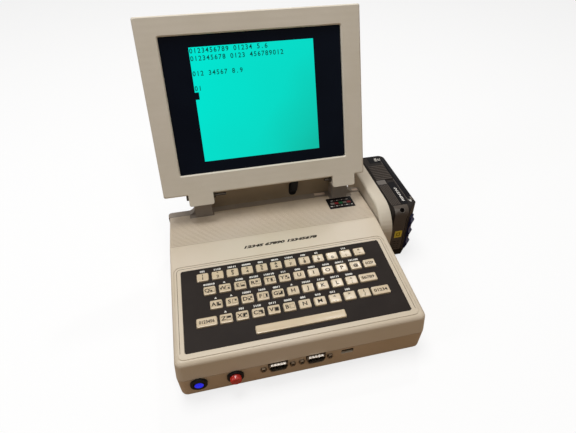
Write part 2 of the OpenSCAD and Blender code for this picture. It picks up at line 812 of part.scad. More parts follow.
module main_board() {
    w = 2 * main_board_x;
    y = main_board_y[0];
    d = main_board_y[1] - y;
    color("darkgreen") {
        box([-main_board_x, main_board_y[0], board_z], [main_board_x, main_board_y[1], board_z + board_t]);
        // Two large chips, a row of memory chips and the can of the picture output
        for (x = [-0.33, 0.06]) chip([x * w, y + 0.47 * d], [0.28 * w, 0.13 * d, 4]);
        for (i = [0:7]) chip([(0.083 * i - 0.34) * w, y + 0.19 * d], [0.044 * w, 0.19 * d, 3.4]);
        chip([0.11 * w, y + 0.7 * d], [0.22 * w, 0.24 * d, 12]);
    }
}

module power_board() {
    color("darkgreen") {
        box(
            [power_board_x[0], power_board_y[0], board_z],
            [power_board_x[1], power_board_y[1], board_z + board_t]
        );
        // Switch bodies behind the two push buttons
        for (x = [blue_x, red_x])
            box([x - 6, switch_y, board_z + board_t / 2], [x + 6, switch_y + 12, button_h + 6]);
        // Coil and capacitor of the supply
        chip([power_board_x[0] + 0.22 * power_board_w, power_board_y[0] + 0.43 * power_board_d], [16, 16, 10]);
        chip([power_board_x[0] + 0.6 * power_board_w, power_board_y[0] + 0.48 * power_board_d], [12, 12, 8]);
    }
}

module rear_sockets() {
    wall_y = back_y - tray_in;
    color("dimgray") for (socket = rear_socket_list)
        translate([socket[0], back_y - 0.9, socket[1]]) rotate([90, 0, 0]) difference() {
            union() {
                cylinder(d = socket[2], h = tray_in + 1);
                translate([-socket[2] / 2 - 0.5, -socket[2] / 2 - 0.5, back_y - 0.9 - wall_y + fit])
                    cube([socket[2] + 1, socket[2] + 1, 7]);
            }
            if (socket[2] > 12) {
                // Five contact holes on a half circle
                for (a = [0:45:180])
                    rotate(a) translate([4.9, 0, -1]) cylinder(d = 1.6, h = 5, $fn = 16);
            } else {
                translate([0, 0, -1]) difference() {
                    cylinder(d = socket[2] - 4.5, h = 7);
                    cylinder(d = 2, h = 7);
                }
            }
        }
}

// ---------- display lid ----------

// Lid outline between two depths, its outer edge rounded by e at the far side
module lid_slab(near, far, e) {
    on_lid(lid_x, lid_h / 2, 0) hull() {
        translate([0, 0, min(near, far)]) plate(
            lid_w - (far < near ? 2 * e : 0), lid_h - (far < near ? 2 * e : 0), skin, lid_corner_r
        );
        translate([0, 0, min(near, far) + (far < near ? e : 0)])
            plate(lid_w, lid_h, abs(near - far) - e, lid_corner_r);
        translate([0, 0, max(near, far) - skin]) plate(
            lid_w - (far < near ? 0 : 2 * e), lid_h - (far < near ? 0 : 2 * e), skin, lid_corner_r
        );
    }
}

module view_opening() {
    bevel = 1;
    on_lid(view_x, view_mid_h, -bezel_t - 1) plate(view_w, view_h, bezel_t + 2, 1, n = 3);
    on_lid(view_x, view_mid_h, 0) hull() {
        translate([0, 0, -bevel]) plate(view_w, view_h, skin, 1, n = 3);
        translate([0, 0, 0.1]) plate(view_w + 2.2 * bevel, view_h + 2.2 * bevel, skin, 1 + bevel, n = 3);
    }
}

// Side view of a tab's cheek, in the lid's frame: the first axis is up the face, the second out of it
module cheek_profile() {
    difference() {
        polygon([
            [-tab_h, -bezel_t], [1, -bezel_t], [1, -bezel_depth], [-0.1, -bezel_depth],
            [-0.1, -axis_back - 5], [-axis_drop - 2, -axis_back - 5], [-axis_drop - 5, -axis_back - 2]
        ]);
        translate([-axis_drop, -axis_back]) circle(bolt_d / 2 + bolt_play);
    }
}

// A profile in the lid's frame, extruded between two places across it
module on_lid_across(x1, x2) {
    on_lid() along_x(x1, x2) children();
}

module pocket_box(tab, inset, low, near, far) {
    high = inset > cheek_t / 2 ? pocket_h : pocket_h + lid_wall;
    on_lid() box([tab[0] + inset, low, near], [tab[1] - inset, high, far]);
}

module lid_bezel() {
    color("lightgray") difference() {
        union() {
            difference() {
                lid_slab(-bezel_depth, 0, 1.2);
                on_lid(lid_x, lid_h / 2, -bezel_depth - 1)
                    plate(lid_w - 2 * lid_wall, lid_h - 2 * lid_wall, bezel_depth + 1 - bezel_t, lid_corner_r - 1);
            }
            for (tab = tabs) {
                on_lid((tab[0] + tab[1]) / 2, -tab_h / 2, -bezel_t)
                    plate(tab[1] - tab[0], tab_h + 4, bezel_t, 2, 1, n = 4);
                // Walls of the pocket over the post
                pocket_box(tab, 0, 0.5, -bezel_depth, -bezel_t + 0.1);
                for (x = [tab[0], tab[1] - cheek_t]) on_lid_across(x, x + cheek_t) cheek_profile();
            }
            for (at = lid_screws_at) on_lid(at[0], at[1], -bezel_depth) cylinder(d = 7, h = bezel_depth - 1);
        }
        view_opening();
        for (tab = tabs) pocket_box(tab, cheek_t, -20, -bezel_depth - 5, -bezel_t);
        for (at = lid_screws_at) on_lid(at[0], at[1], -bezel_depth - 1) cylinder(d = 2.6, h = 6.5);
        cable_entry();
    }
}

// Hole for the display cable in the lid's lower wall
module cable_entry() {
    on_lid() box(
        [cable_x - slot_w / 2, -1, -axis_back - 4 - cable_t],
        [cable_x + slot_w / 2, lid_wall + 1, -axis_back - 0.8]
    );
}

module lid_back() {
    color("lightgray") difference() {
        union() {
            difference() {
                lid_slab(-bezel_depth - 0.02, -lid_t, 2.5);
                on_lid(lid_x, lid_h / 2, lid_wall - lid_t)
                    plate(lid_w - 2 * lid_wall, lid_h - 2 * lid_wall, lid_t, lid_corner_r - 1);
            }
            for (tab = tabs) pocket_box(tab, 0, 0.5, lid_wall / 2 - lid_t, -bezel_depth - 0.02);
            for (at = lid_screws_at)
                on_lid(at[0], at[1], lid_wall / 2 - lid_t)
                    cylinder(d = 8, h = lid_t - bezel_depth - lid_wall / 2 - 0.02);
        }
        for (tab = tabs) pocket_box(tab, cheek_t, -20, -lid_t - 1, 0);
        for (at = lid_screws_at) on_lid(at[0], at[1], -lid_t - 1) {
            cylinder(d = 3.2, h = lid_t);
            cylinder(d = 6, h = 3.4);
        }
        cable_entry();
        // Air slots behind the display board
        for (i = [-4:4]) on_lid(lid_x + i * 9, lid_h - 34, -lid_t - 1) plate(4, 26, lid_wall + 2, 1.9);
    }
}

module lcd_panel() {
    color("silver") on_lid(view_x, view_mid_h, 0) difference() {
        translate([0, 0, module_bottom])
            plate(panel_module_w, panel_module_h, glass_top - module_bottom, 1, n = 2);
        translate([0, 0, glass_top - glass_t]) plate(
            view_w + 2 * glass_margin + 2 * fit, view_h + 2 * glass_margin + 2 * fit, glass_t + 1, 1, n = 2
        );
    }
}

module screen_glass() {
    color("black") on_lid(view_x, view_mid_h, glass_top - glass_t)
        plate(view_w + 2 * glass_margin, view_h + 2 * glass_margin, glass_t - 0.05, 1, n = 2);
}

module display_board() {
    gap = 1;
    top = module_bottom - gap;
    board_mid_h = view_mid_h - 14;
    color("darkgreen") {
        on_lid(lid_x, board_mid_h, top - board_t) plate(0.7 * view_w, 0.55 * view_h, board_t, 1, n = 2);
        on_lid(lid_x - 0.23 * view_w, board_mid_h - 10, top - board_t - 1.6) cube([24, 24, 1.7]);
        on_lid(lid_x + 0.12 * view_w, board_mid_h - 10, top - board_t - 1.6) cube([14, 30, 1.7]);
        // Foam pads that hold the board to the display's back
        for (side = [-1, 1]) on_lid(lid_x + side * 0.29 * view_w, board_mid_h, top) plate(10, 50, gap, 1, n = 2);
    }
}

module lid_screws() {
    color("silver") for (at = lid_screws_at)
        on_lid(at[0], at[1], 2.4 - lid_t) pan_screw(2.5, 5.4, 2, lid_t - 2.4 - bezel_t - 1.5);
}

// Bolt from one side of a tab to the other, its head at the outer side and a nut at the inner side
module hinge_bolt(head_x, l, turn, nut_at) {
    head_t = 2.4;
    nut_t = 2.4;
    translate([head_x, axis_y, axis_h]) rotate([0, turn, 0]) difference() {
        union() {
            translate([0, 0, -head_t]) cylinder(d = 5.5, h = head_t);
            cylinder(d = bolt_d, h = l);
            translate([0, 0, nut_at + 0.02]) cylinder(d = 6.3, h = nut_t, $fn = 6);
        }
        translate([0, 0, -head_t - 1]) cylinder(d = 2.8, h = 2.2, $fn = 6);
    }
}

module hinge_bolts() {
    color("silver") {
        hinge_bolt(tabs[0][0] - 0.02, 38, 90, tabs[0][1] - tabs[0][0]);
        hinge_bolt(tabs[1][1] + 0.02, 31.5, -90, tabs[1][1] - tabs[1][0]);
    }
}

// Middle line of the display cable from the rear block to the lid's lower wall
function cable_point(u) =
    let (
        a = [back_y + 3, slot_mid_z - 2], b = [back_y - 7, slot_mid_z - 3],
        c = [axis_y + 8, axis_h - 10],
        entry = -axis_back - 1.4 - cable_t / 2,
        d = [
            lid_origin_y + 2 * sin(lid_tilt) - entry * cos(lid_tilt),
            lid_origin_z + 2 * cos(lid_tilt) + entry * sin(lid_tilt)
        ]
    )
    pow(1 - u, 3) * a + 3 * u * pow(1 - u, 2) * b + 3 * u * u * (1 - u) * c + pow(u, 3) * d;

function cable_side(u, half) =
    let (step = 0.01, t = cable_point(min(u + step, 1)) - cable_point(max(u - step, 0)))
        cable_point(u) + half * [-t[1], t[0]] / norm(t);

module display_cable() {
    steps = 14;
    color("black") {
        along_x(cable_x - cable_w / 2, cable_x + cable_w / 2) polygon(concat(
            [for (i = [0:steps]) cable_side(i / steps, cable_t / 2)],
            [for (i = [steps:-1:0]) cable_side(i / steps, -cable_t / 2)]
        ));
        // Grommet in the rear block
        along_y(back_y - 0.8, back_y + wall + 1.5) cable_slot(0);
    }
}

// ---------- battery dock and battery ----------

// Side view of the dock: a slab with a large round nose at the top front, inset all round
module dock_profile(inset) {
    r = nose_r - inset;
    low_r = 4;
    back = dock_y + dock_l - inset;
    polygon(concat(
        arc([dock_y + nose_r, dock_h - nose_r], r, 180, 90, 10),
        arc([back - low_r, dock_h - inset - low_r], low_r, 90, 0, 4),
        arc([back - low_r, inset + low_r], low_r, 0, -90, 4),
        arc([dock_y + inset + low_r, inset + low_r], low_r, -90, -180, 4)
    ));
}

// T-shaped section of the rail: x is out of the dock's face, y is up, and the neck starts at root
module rail_profile(grow, root = -1) {
    translate([root, -rail_neck / 2 - grow]) square([neck_t + 1 - root, rail_neck + 2 * grow]);
    translate([neck_t - grow, -rail_w / 2 - grow]) square([head_t + 2 * grow, rail_w + 2 * grow]);
}

module along_rail(y1, y2, x = dock_face_x) {
    translate([x, 0, rail_z]) along_y(y1, y2) children();
}

module battery_dock() {
    steps = 4;
    color("wheat") difference() {
        union() {
            hull() {
                for (i = [0:steps])
                    along_x(
                        dock_x + dock_edge_r * (1 - cos(90 * i / steps)), dock_face_x - 0.01 * i
                    ) dock_profile(dock_edge_r * (1 - sin(90 * i / steps)));
            }
            along_rail(rail_y, rail_y + rail_l) rail_profile(0);
            // Pad between the slab and the tray's leaning wall
            along_y(dock_y + 8, dock_y + 72) polygon([
                [tray_side_x(6) + 0.02, 6], [tray_side_x(20) + 0.02, 20], [dock_x + 6, 20], [dock_x + 6, 6]
            ]);
        }
        at_dock_screws() translate([0, 0, -2]) cylinder(d = 2.6, h = 11);
    }
}

module dock_terminals() {
    color("black") {
        along_rail(rail_y - terminal_l, rail_y) rail_profile(-0.05, 0.02);
        for (z = [-7, 0, 7])
            box(
                [dock_face_x + 1.5, rail_y - terminal_l - blade_l, rail_z + z - 0.4],
                [dock_face_x + 6, rail_y - 1, rail_z + z + 0.4]
            );
    }
}

// Plan of the battery, inset all round, with its outer front corner cut off and the rear one round
module pack_plan(inset) {
    back_r = 6;
    right = pack_x + pack_t - inset;
    back = pack_y + pack_l - inset;
    front = pack_y + inset;
    cut = pack_cut - 0.6 * inset;
    polygon(concat(
        [[pack_x + inset, front], [right - cut, front], [right, front + cut]],
        arc([right - back_r, back - back_r], back_r, 0, 90, 5),
        [[pack_x + inset, back]]
    ));
}

// Frame of the release button: x out of the bevel, y along it outwards, from the middle of the button
module on_pack_cut() {
    mid = [pack_x + pack_t - pack_cut / 2, pack_y + pack_cut / 2];
    translate([mid[0], mid[1], 0]) rotate(-45) translate([0, release_shift, 0]) children();
}

module battery_case() {
    right = pack_x + pack_t;
    top = pack_z + pack_h;
    color("darkslategray") difference() {
        union() {
            hull() {
                translate([0, 0, pack_z]) linear_extrude(pack_h) pack_plan(pack_edge);
                translate([0, 0, pack_z + pack_edge]) linear_extrude(pack_h - 2 * pack_edge) pack_plan(0);
            }
            // Raised field on the top
            box(
                [pack_x + 1.5, field_y[0], top - 1], [right - 7.5, field_y[1], top + 0.6]
            );
        }
        // Channel for the rail, open to the dock and to the back
        along_rail(channel_y, pack_y + pack_l + 1) rail_profile(rail_gap);
        // Slots for the terminal blades
        for (z = [-7, 0, 7])
            box(
                [dock_face_x, rail_y - terminal_l - blade_l - 1, rail_z + z - 0.9],
                [dock_face_x + 6.5, channel_y + 1, rail_z + z + 0.9]
            );
        // Chamber for the cells
        translate([cell_mid_x, cell_first_y + cell_row / 2, pack_z + (pack_h - cell_l) / 2 - 0.1])
            plate(cell_d + 0.3, cell_row + cell_d + 0.3, cell_l + 0.2, cell_d / 2 + 0.1, n = 8);
        // Opening and chamber of the release button
        on_pack_cut() {
            release_box(-release_t - release_flange_t - release_travel - fit, 3, fit);
            release_box(-release_t - release_flange_t - release_travel - fit, fit - release_t, 1 + fit);
        }
        // Round front top edge, with a blind hole square to it
        along_x(pack_x - 1, right + 1) polygon(concat(
            arc([pack_y + pack_brow_r, top - pack_brow_r], pack_brow_r, 180, 90, 8),
            [[pack_y + pack_brow_r, top + 1], [pack_y - 1, top + 1], [pack_y - 1, top - pack_brow_r]]
        ));
        translate([pack_x + 10.3, pack_y + pack_brow_r, top - pack_brow_r]) rotate([45, 0, 0])
            translate([0, 0, pack_brow_r - 4]) cylinder(d = 5, h = 8);
        // Line between the two halves of the housing
        box([pack_x + 12, pack_y - 1, top - 0.5], [pack_x + 12.6, field_y[0], top + 1]);
        // Grip grooves low on the outer side
        for (i = [0:3])
            box([right - 0.8, pack_y + 40 + i * 14, pack_z + 8], [right + 1, pack_y + 46 + i * 14, pack_z + 26]);
    }
}

// Block with the outline of the release button grown by extra, between two places across the bevel
module release_box(x1, x2, extra) {
    box(
        [x1, -release_w / 2 - extra, release_z[0] - extra], [x2, release_w / 2 + extra, release_z[1] + extra]
    );
}

module battery_release() {
    fin_low = 7.4; // from a fin's tip down to its root
    fin_high = 2.4; // from a fin's tip up to its root
    color("navy") on_pack_cut() {
        release_box(-release_t, release_proud, 0);
        release_box(-release_t - release_flange_t, -release_t, 1);
        for (z = fin_tops) rotate([90, 0, 0]) translate([release_proud - 0.5, z, -release_w / 2])
            linear_extrude(release_w)
                polygon([
                    [0, -fin_low], [0.5, -fin_low], [fin_out + 0.5, -1.5], [fin_out + 0.5, 0], [0, fin_high]
                ]);
    }
}

module battery_cells() {
    color("teal") for (i = [0:cell_count - 1])
        translate([cell_mid_x, cell_first_y + i * cell_pitch, pack_z + (pack_h - cell_l) / 2]) {
            cylinder(d = cell_d, h = cell_l - 1);
            cylinder(d = 6, h = cell_l);
        }
}

// ---------- keyboard ----------

// Hole for one key, through the panel
module key_hole(x, s, w, d) {
    on_deck(x, s, -recess_h - 1) plate(w + 2 * key_gap, d + 2 * key_gap, panel_t + 3, 1.2, n = 3);
}

// One rubber key: tapered cap, flange under the panel and a round stem over its contact
module key(x, s, w, d) {
    color("antiquewhite") on_deck(x, s, 0) {
        translate([0, 0, flange_top]) plate(w, d, key_rise - flange_top - key_bevel, 1, n = 3);
        translate([0, 0, key_rise - key_bevel])
            linear_extrude(key_bevel, scale = [1 - 2 * key_bevel / w, 1 - 2 * key_bevel / d], slices = 1)
                polygon(round_outline(w, d, 1, 1, 3));
        translate([0, 0, flange_top - flange_t]) plate(w + 2 * flange_out, d + 2 * flange_out, flange_t, 1, n = 2);
        translate([0, 0, flange_top - flange_t - stem_l]) cylinder(d = 4, h = stem_l + 0.1, $fn = 24);
    }
}

module letter_key(i) {
    row = letter_row(i);
    key(key_x(row + 1, i - row_starts[row]), key_s(row + 1), key_w, key_d);
}

module command_keys() {
    for (k = command_key_list)
        key(first_key_x + k[0] * key_pitch, key_s(k[1]), k[2] * key_pitch, key_d);
}

module number_keys() {
    for (k = sign_key_list) key(key_x(k[0], k[1]), key_s(k[0]), key_w, key_d);
}

module space_bar() {
    key(space_x, key_s(space_row), space_w, key_d - 1);
}

module key_panel() {
    color("black") difference() {
        on_deck(panel_x, panel_mid_s, -recess_h) plate(panel_w, panel_d, panel_t, 2);
        for (i = [0:len(letters) - 1])
            let (row = letter_row(i))
                key_hole(key_x(row + 1, i - row_starts[row]), key_s(row + 1), key_w, key_d);
        for (k = sign_key_list) key_hole(key_x(k[0], k[1]), key_s(k[0]), key_w, key_d);
        for (k = command_key_list)
            key_hole(first_key_x + k[0] * key_pitch, key_s(k[1]), k[2] * key_pitch, key_d);
        key_hole(space_x, key_s(space_row), space_w, key_d - 1);
    }
}

module key_contact_sheet() {
    color("seagreen") key_well(rim_t, sheet_top - sheet_t, sheet_top - 0.02);
}

base_tray();
top_cover();
rear_ledge();
rear_block();
key_panel();
key_contact_sheet();
main_board();
power_board();
joystick_port_shells();
joystick_port_inserts();
button_collars();
memory_card_socket();
battery_dock();
dock_terminals();
badge_plate();
rubber_feet();
case_screws();
rear_sockets();
display_cable();
lid_bezel();
lid_back();
lcd_panel();
screen_glass();
display_board();
hinge_bolts();
lid_screws();
blue_button();
red_button();
battery_case();
battery_release();
battery_cells();
space_bar();
command_keys();
number_keys();
for (i = [0:len(letters) - 1]) letter_key(i);
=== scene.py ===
"""Finish and fine detail of a portable home computer.

It has rubber keys, printed plates, a folding display and a slide-on battery.
"""

import math

import bpy
from mathutils import Matrix, Vector


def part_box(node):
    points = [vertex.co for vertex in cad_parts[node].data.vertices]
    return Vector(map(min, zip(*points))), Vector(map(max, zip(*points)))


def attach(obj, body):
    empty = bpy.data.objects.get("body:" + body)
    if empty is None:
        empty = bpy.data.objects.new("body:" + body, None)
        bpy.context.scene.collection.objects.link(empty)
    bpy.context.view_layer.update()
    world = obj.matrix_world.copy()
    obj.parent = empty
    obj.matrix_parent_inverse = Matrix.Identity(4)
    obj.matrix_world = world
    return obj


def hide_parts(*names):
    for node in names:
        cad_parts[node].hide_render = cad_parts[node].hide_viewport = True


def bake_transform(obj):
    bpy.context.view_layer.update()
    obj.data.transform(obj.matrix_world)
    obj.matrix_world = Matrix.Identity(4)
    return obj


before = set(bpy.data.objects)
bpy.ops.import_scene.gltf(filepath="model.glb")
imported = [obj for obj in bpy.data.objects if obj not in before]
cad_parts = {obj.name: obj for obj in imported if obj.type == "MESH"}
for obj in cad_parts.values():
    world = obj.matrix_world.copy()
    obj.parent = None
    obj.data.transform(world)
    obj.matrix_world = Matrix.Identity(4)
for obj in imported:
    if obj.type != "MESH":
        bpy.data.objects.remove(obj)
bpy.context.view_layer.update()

MM = 0.001

# Places and sizes in millimetres, as the construction has them
FRONT_Y = -93.0
FRONT_H = 45.2
DECK_TILT = math.radians(4)
PANEL_X = -0.95
PANEL_S = 10.6
PANEL_D = 83.6
PANEL_W = 194.3
PANEL_DROP = 0.2
KEY_PITCH = 13.75
ROW_PITCH = 15.8
KEY_W = 10.4
KEY_D = 8.6
KEY_RISE = 1.3
SPACE_W = 78.0
STAGGER = (0, 0.36, 0.68, 1.18)
FIRST_KEY_X = PANEL_X - PANEL_W / 2 + 19.6
NUMBER_ROW_S = PANEL_S + PANEL_D - 11.1
CREASE_Y = 30.5
CREASE_Z = 53.84
REAR_FALL = math.radians(4)
LEDGE_Z = 49.52
BACK_Y = 93.0
PORTS = (-25.3, 7.6)
PORT_TOP = 23.2
AXIS_Y = 76.5
AXIS_H = 78.9
AXIS_DROP = 4.2
AXIS_BACK = 7.0
LID_TILT = math.radians(20.9)
LID_ORIGIN = Vector((
    0,
    AXIS_Y + AXIS_DROP * math.sin(LID_TILT) - AXIS_BACK * math.cos(LID_TILT),
    AXIS_H + AXIS_DROP * math.cos(LID_TILT) + AXIS_BACK * math.sin(LID_TILT),
))
GLASS_TOP = -3.1


# ---------- places ----------

def deck(x=0.0, s=0.0, h=0.0):
    """Place on the keyboard deck: x across, s up the slope from the front face, h out of it."""
    origin = Matrix.Translation((0, FRONT_Y, FRONT_H)) @ Matrix.Rotation(DECK_TILT, 4, "X")
    return origin @ Matrix.Translation((x, s, h))


def rear_slope(x=0.0, s=0.0, h=0.0):
    """Place on the ribbed slope behind the crease."""
    origin = Matrix.Translation((0, CREASE_Y, CREASE_Z)) @ Matrix.Rotation(-REAR_FALL, 4, "X")
    return origin @ Matrix.Translation((x, s, h))


def lid(x=0.0, y=0.0, z=0.0):
    """Place on the lid: x across, y up the face from its lower edge, z out of the face."""
    origin = Matrix.Translation(LID_ORIGIN) @ Matrix.Rotation(math.pi / 2 - LID_TILT, 4, "X")
    return origin @ Matrix.Translation((x, y, z))


def upright(x, y, z):
    """Place on a wall that faces the user: local x across, local y up, local z towards the user."""
    return Matrix.Translation((x, y, z)) @ Matrix.Rotation(math.pi / 2, 4, "X")


def lengthways(x, y, z):
    """Place on a level top, turned so that local x runs towards the user and local y to the right."""
    return Matrix.Translation((x, y, z)) @ Matrix.Rotation(-math.pi / 2, 4, "Z")


def key_x(row, column):
    return FIRST_KEY_X + (STAGGER[row] + column) * KEY_PITCH


def key_s(row):
    return NUMBER_ROW_S - row * ROW_PITCH


# ---------- meshes ----------

def rounded(w, d, r, z=0.0, n=4):
    """Ring of points round a rectangle with round corners, at height z."""
    ring = []
    for cx, cy, turn in ((1, 1, 0), (-1, 1, 90), (-1, -1, 180), (1, -1, 270)):
        for i in range(n + 1):
            a = math.radians(turn + 90 * i / n)
            ring.append((
                cx * (w / 2 - r) + r * math.cos(a),
                cy * (d / 2 - r) + r * math.sin(a),
                z,
            ))
    return ring


def circle(r, z=0.0, n=48):
    return [(r * math.cos(2 * math.pi * i / n), r * math.sin(2 * math.pi * i / n), z) for i in range(n)]


class Build:
    """Gathers the faces of one piece in millimetres, each with the number of its material."""

    def __init__(self):
        self.verts = []
        self.faces = []
        self.numbers = []

    def add(self, verts, faces, place=Matrix.Identity(4), number=0):
        start = len(self.verts)
        self.verts += [place @ Vector(v) for v in verts]
        self.faces += [[start + i for i in face] for face in faces]
        self.numbers += [number] * len(faces)
        return self

    def loft(self, rings, place=Matrix.Identity(4), number=0, caps=(True, True)):
        """Skin through rings of points, from the lowest up, closed at its ends."""
        n = len(rings[0])
        faces = []
        for k in range(len(rings) - 1):
            for i in range(n):
                j = (i + 1) % n
                faces.append([k * n + i, k * n + j, (k + 1) * n + j, (k + 1) * n + i])
        if caps[0]:
            faces.append(list(range(n - 1, -1, -1)))
        if caps[1]:
            faces.append([(len(rings) - 1) * n + i for i in range(n)])
        return self.add([p for ring in rings for p in ring], faces, place, number)

    def plate(self, w, d, h, r, place=Matrix.Identity(4), number=0, edge=0.0):
        """Flat plate with round corners, and its upper edge eased where an edge is given."""
        rings = [rounded(w, d, r, 0, 3), rounded(w, d, r, h - edge, 3)]
        if edge:
            rings.append(rounded(w - 2 * edge, d - 2 * edge, max(r - edge, 0.05), h, 3))
        return self.loft(rings, place, number)

    def lettering(self, text, height, place, number=0, stretch=1.0, bold=0.0, slant=0.0):
        """Flat characters round a place."""
        curve = bpy.data.curves.new("lettering", "FONT")
        curve.body = text
        curve.size = height / 0.7
        curve.align_x = "CENTER"
        curve.align_y = "CENTER"
        curve.resolution_u = 3
        curve.offset = bold
        curve.shear = slant
        shown = bpy.data.objects.new("lettering", curve)
        bpy.context.scene.collection.objects.link(shown)
        graph = bpy.context.evaluated_depsgraph_get()
        mesh = bpy.data.meshes.new_from_object(shown.evaluated_get(graph))
        verts = [(v.co.x * stretch, v.co.y, 0) for v in mesh.vertices]
        faces = [list(p.vertices) for p in mesh.polygons]
        bpy.data.objects.remove(shown)
        bpy.data.curves.remove(curve)
        bpy.data.meshes.remove(mesh)
        return self.add(verts, faces, place, number)

    def piece(self, name, materials, body, replaces=(), sharp=35):
        mesh = bpy.data.meshes.new(name)
        mesh.from_pydata([v * MM for v in self.verts], [], self.faces)
        for made in materials:
            mesh.materials.append(made)
        mesh.polygons.foreach_set("material_index", self.numbers)
        mesh.shade_smooth()
        mesh.set_sharp_from_angle(angle=math.radians(sharp))
        mesh.validate()
        made = bpy.data.objects.new(name, mesh)
        bpy.context.scene.collection.objects.link(made)
        if body:
            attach(made, body)
        if replaces:
            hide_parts(*replaces)
        return made


# ---------- materials ----------

def colour(code):
    """Linear RGBA of an sRGB hex colour."""
    parts = [int(code[i:i + 2], 16) / 255 for i in (1, 3, 5)]
    return tuple(c / 12.92 if c <= 0.04045 else ((c + 0.055) / 1.055) ** 2.4 for c in parts) + (1.0,)


def add(tree, kind, settings=(), links=()):
    """Adds a node to the tree.

    Settings are its sockets and properties by name, with a ramp's stops as places and colours. Links are its
    inputs by name.
    """
    made = tree.nodes.new("ShaderNode" + kind)
    for key, value in dict(settings).items():
        if key == "stops":
            points = made.color_ramp.elements
            while len(points) < len(value):
                points.new(0.5)
            for point, (place, code) in zip(points, value):
                point.position = place
                point.color = colour(code)
        elif key in made.inputs.keys():
            made.inputs[key].default_value = value
        else:
            setattr(made, key, value)
    for key, source in dict(links).items():
        tree.links.new(source, made.inputs[key])
    return made


def start(name, base, roughness, **sockets):
    """A new material with its shader, and the place in the object that its patterns follow."""
    made = bpy.data.materials.new(name)
    made.use_nodes = True
    tree = made.node_tree
    tree.nodes.clear()
    named = {key.replace("_", " "): value for key, value in sockets.items()}
    shader = add(tree, "BsdfPrincipled", {"Base Color": colour(base), "Roughness": roughness, **named})
    add(tree, "OutputMaterial", (), {"Surface": shader.outputs["BSDF"]})
    where = add(tree, "TexCoord").outputs["Object"]
    return made, tree, shader, where


WAVE_BANDS = 20  # how many times finer a wave pattern comes out than a noise of the same scale


def per_mm(size):
    """Pattern scale at which one step of the pattern is this many millimetres."""
    return 1 / (size * MM)


def mottle(tree, shader, where, base, other, size, low=0.35, high=0.65):
    """Slow change of colour between two tones, in patches of the given size."""
    patch = add(tree, "TexNoise", {"Scale": per_mm(size), "Detail": 4.0}, {"Vector": where})
    tone = add(tree, "ValToRGB", {"stops": ((low, base), (high, other))}, {"Fac": patch.outputs["Fac"]})
    tree.links.new(tone.outputs["Color"], shader.inputs["Base Color"])


def relief(tree, shader, height, depth, edge=0.0):
    """Bump of the given depth in millimetres, over edges eased by a small radius."""
    links = {"Height": height}
    if edge:
        eased = add(tree, "Bevel", {"Radius": edge * MM, "samples": 6})
        links["Normal"] = eased.outputs["Normal"]
    bump = add(tree, "Bump", {"Strength": 1.0, "Distance": depth * MM}, links)
    tree.links.new(bump.outputs["Normal"], shader.inputs["Normal"])


def uneven_gloss(tree, shader, where, roughness, spread, size):
    """Roughness that wanders round its value, as handled plastic has it."""
    patch = add(tree, "TexNoise", {"Scale": per_mm(size), "Detail": 3.0}, {"Vector": where})
    rough = add(
        tree, "MapRange", {"To Min": roughness - spread, "To Max": roughness + spread},
        {"Value": patch.outputs["Fac"]},
    )
    tree.links.new(rough.outputs["Result"], shader.inputs["Roughness"])


def moulded_abs(name, base, aged):
    """ABS from a spark-eroded tool: even fine grain, slow yellowing, a soft sheen.

    The grain is drawn 0.7 mm wide, three times as coarse as it is, so that it shows.
    """
    made, tree, shader, where = start(name, base, 0.36, Specular_IOR_Level=0.4)
    mottle(tree, shader, where, base, aged, 60)
    grain = add(tree, "TexNoise", {"Scale": per_mm(0.7), "Detail": 2.0}, {"Vector": where})
    relief(tree, shader, grain.outputs["Fac"], 0.04, edge=0.5)
    uneven_gloss(tree, shader, where, 0.36, 0.06, 12)
    return made


def printed_plastic(name, base, other):
    """PLA laid down in layers by a printer: faint lines along the layers, a grainy dull gloss.

    The 0.2 mm layers are drawn 0.9 mm high, so that they show.
    """
    made, tree, shader, where = start(name, base, 0.55, Specular_IOR_Level=0.3)
    mottle(tree, shader, where, base, other, 35, 0.3, 0.7)
    lines = add(
        tree, "TexWave",
        {"Scale": per_mm(0.9) / WAVE_BANDS, "Distortion": 1.2, "Detail": 2.0, "bands_direction": "Z"},
        {"Vector": where},
    )
    grain = add(tree, "TexNoise", {"Scale": per_mm(0.9), "Detail": 3.0}, {"Vector": where})
    both = add(tree, "Math", {"operation": "ADD"})
    tree.links.new(lines.outputs["Fac"], both.inputs[0])
    tree.links.new(grain.outputs["Fac"], both.inputs[1])
    relief(tree, shader, both.outputs["Value"], 0.03, edge=0.4)
    return made


def plain_moulding(name, base, roughness, grain=0.6, depth=0.02, **sockets):
    """Moulded plastic or rubber with an even fine grain and a gloss that wanders a little."""
    made, tree, shader, where = start(name, base, roughness, **sockets)
    noise = add(tree, "TexNoise", {"Scale": per_mm(grain), "Detail": 2.0}, {"Vector": where})
    relief(tree, shader, noise.outputs["Fac"], depth, edge=0.25)
    uneven_gloss(tree, shader, where, roughness, 0.06, 8)
    return made


def brushed_metal(name, base, roughness, **sockets):
    """Plated or pressed metal: fine drawing marks across a bright surface."""
    made, tree, shader, where = start(name, base, roughness, Metallic=1.0, **sockets)
    marks = add(tree, "TexNoise", {"Scale": per_mm(0.5), "Detail": 3.0}, {"Vector": where})
    relief(tree, shader, marks.outputs["Fac"], 0.01, edge=0.15)
    uneven_gloss(tree, shader, where, roughness, 0.05, 3)
    return made


def printing_ink(name, base, roughness=0.6):
    """Screen-printed ink: a thin dull film, finely speckled where the mesh left it thin."""
    made, tree, shader, where = start(name, base, roughness, Specular_IOR_Level=0.06)
    speck = add(tree, "TexNoise", {"Scale": per_mm(0.4), "Detail": 2.0}, {"Vector": where})
    relief(tree, shader, speck.outputs["Fac"], 0.01)
    return made


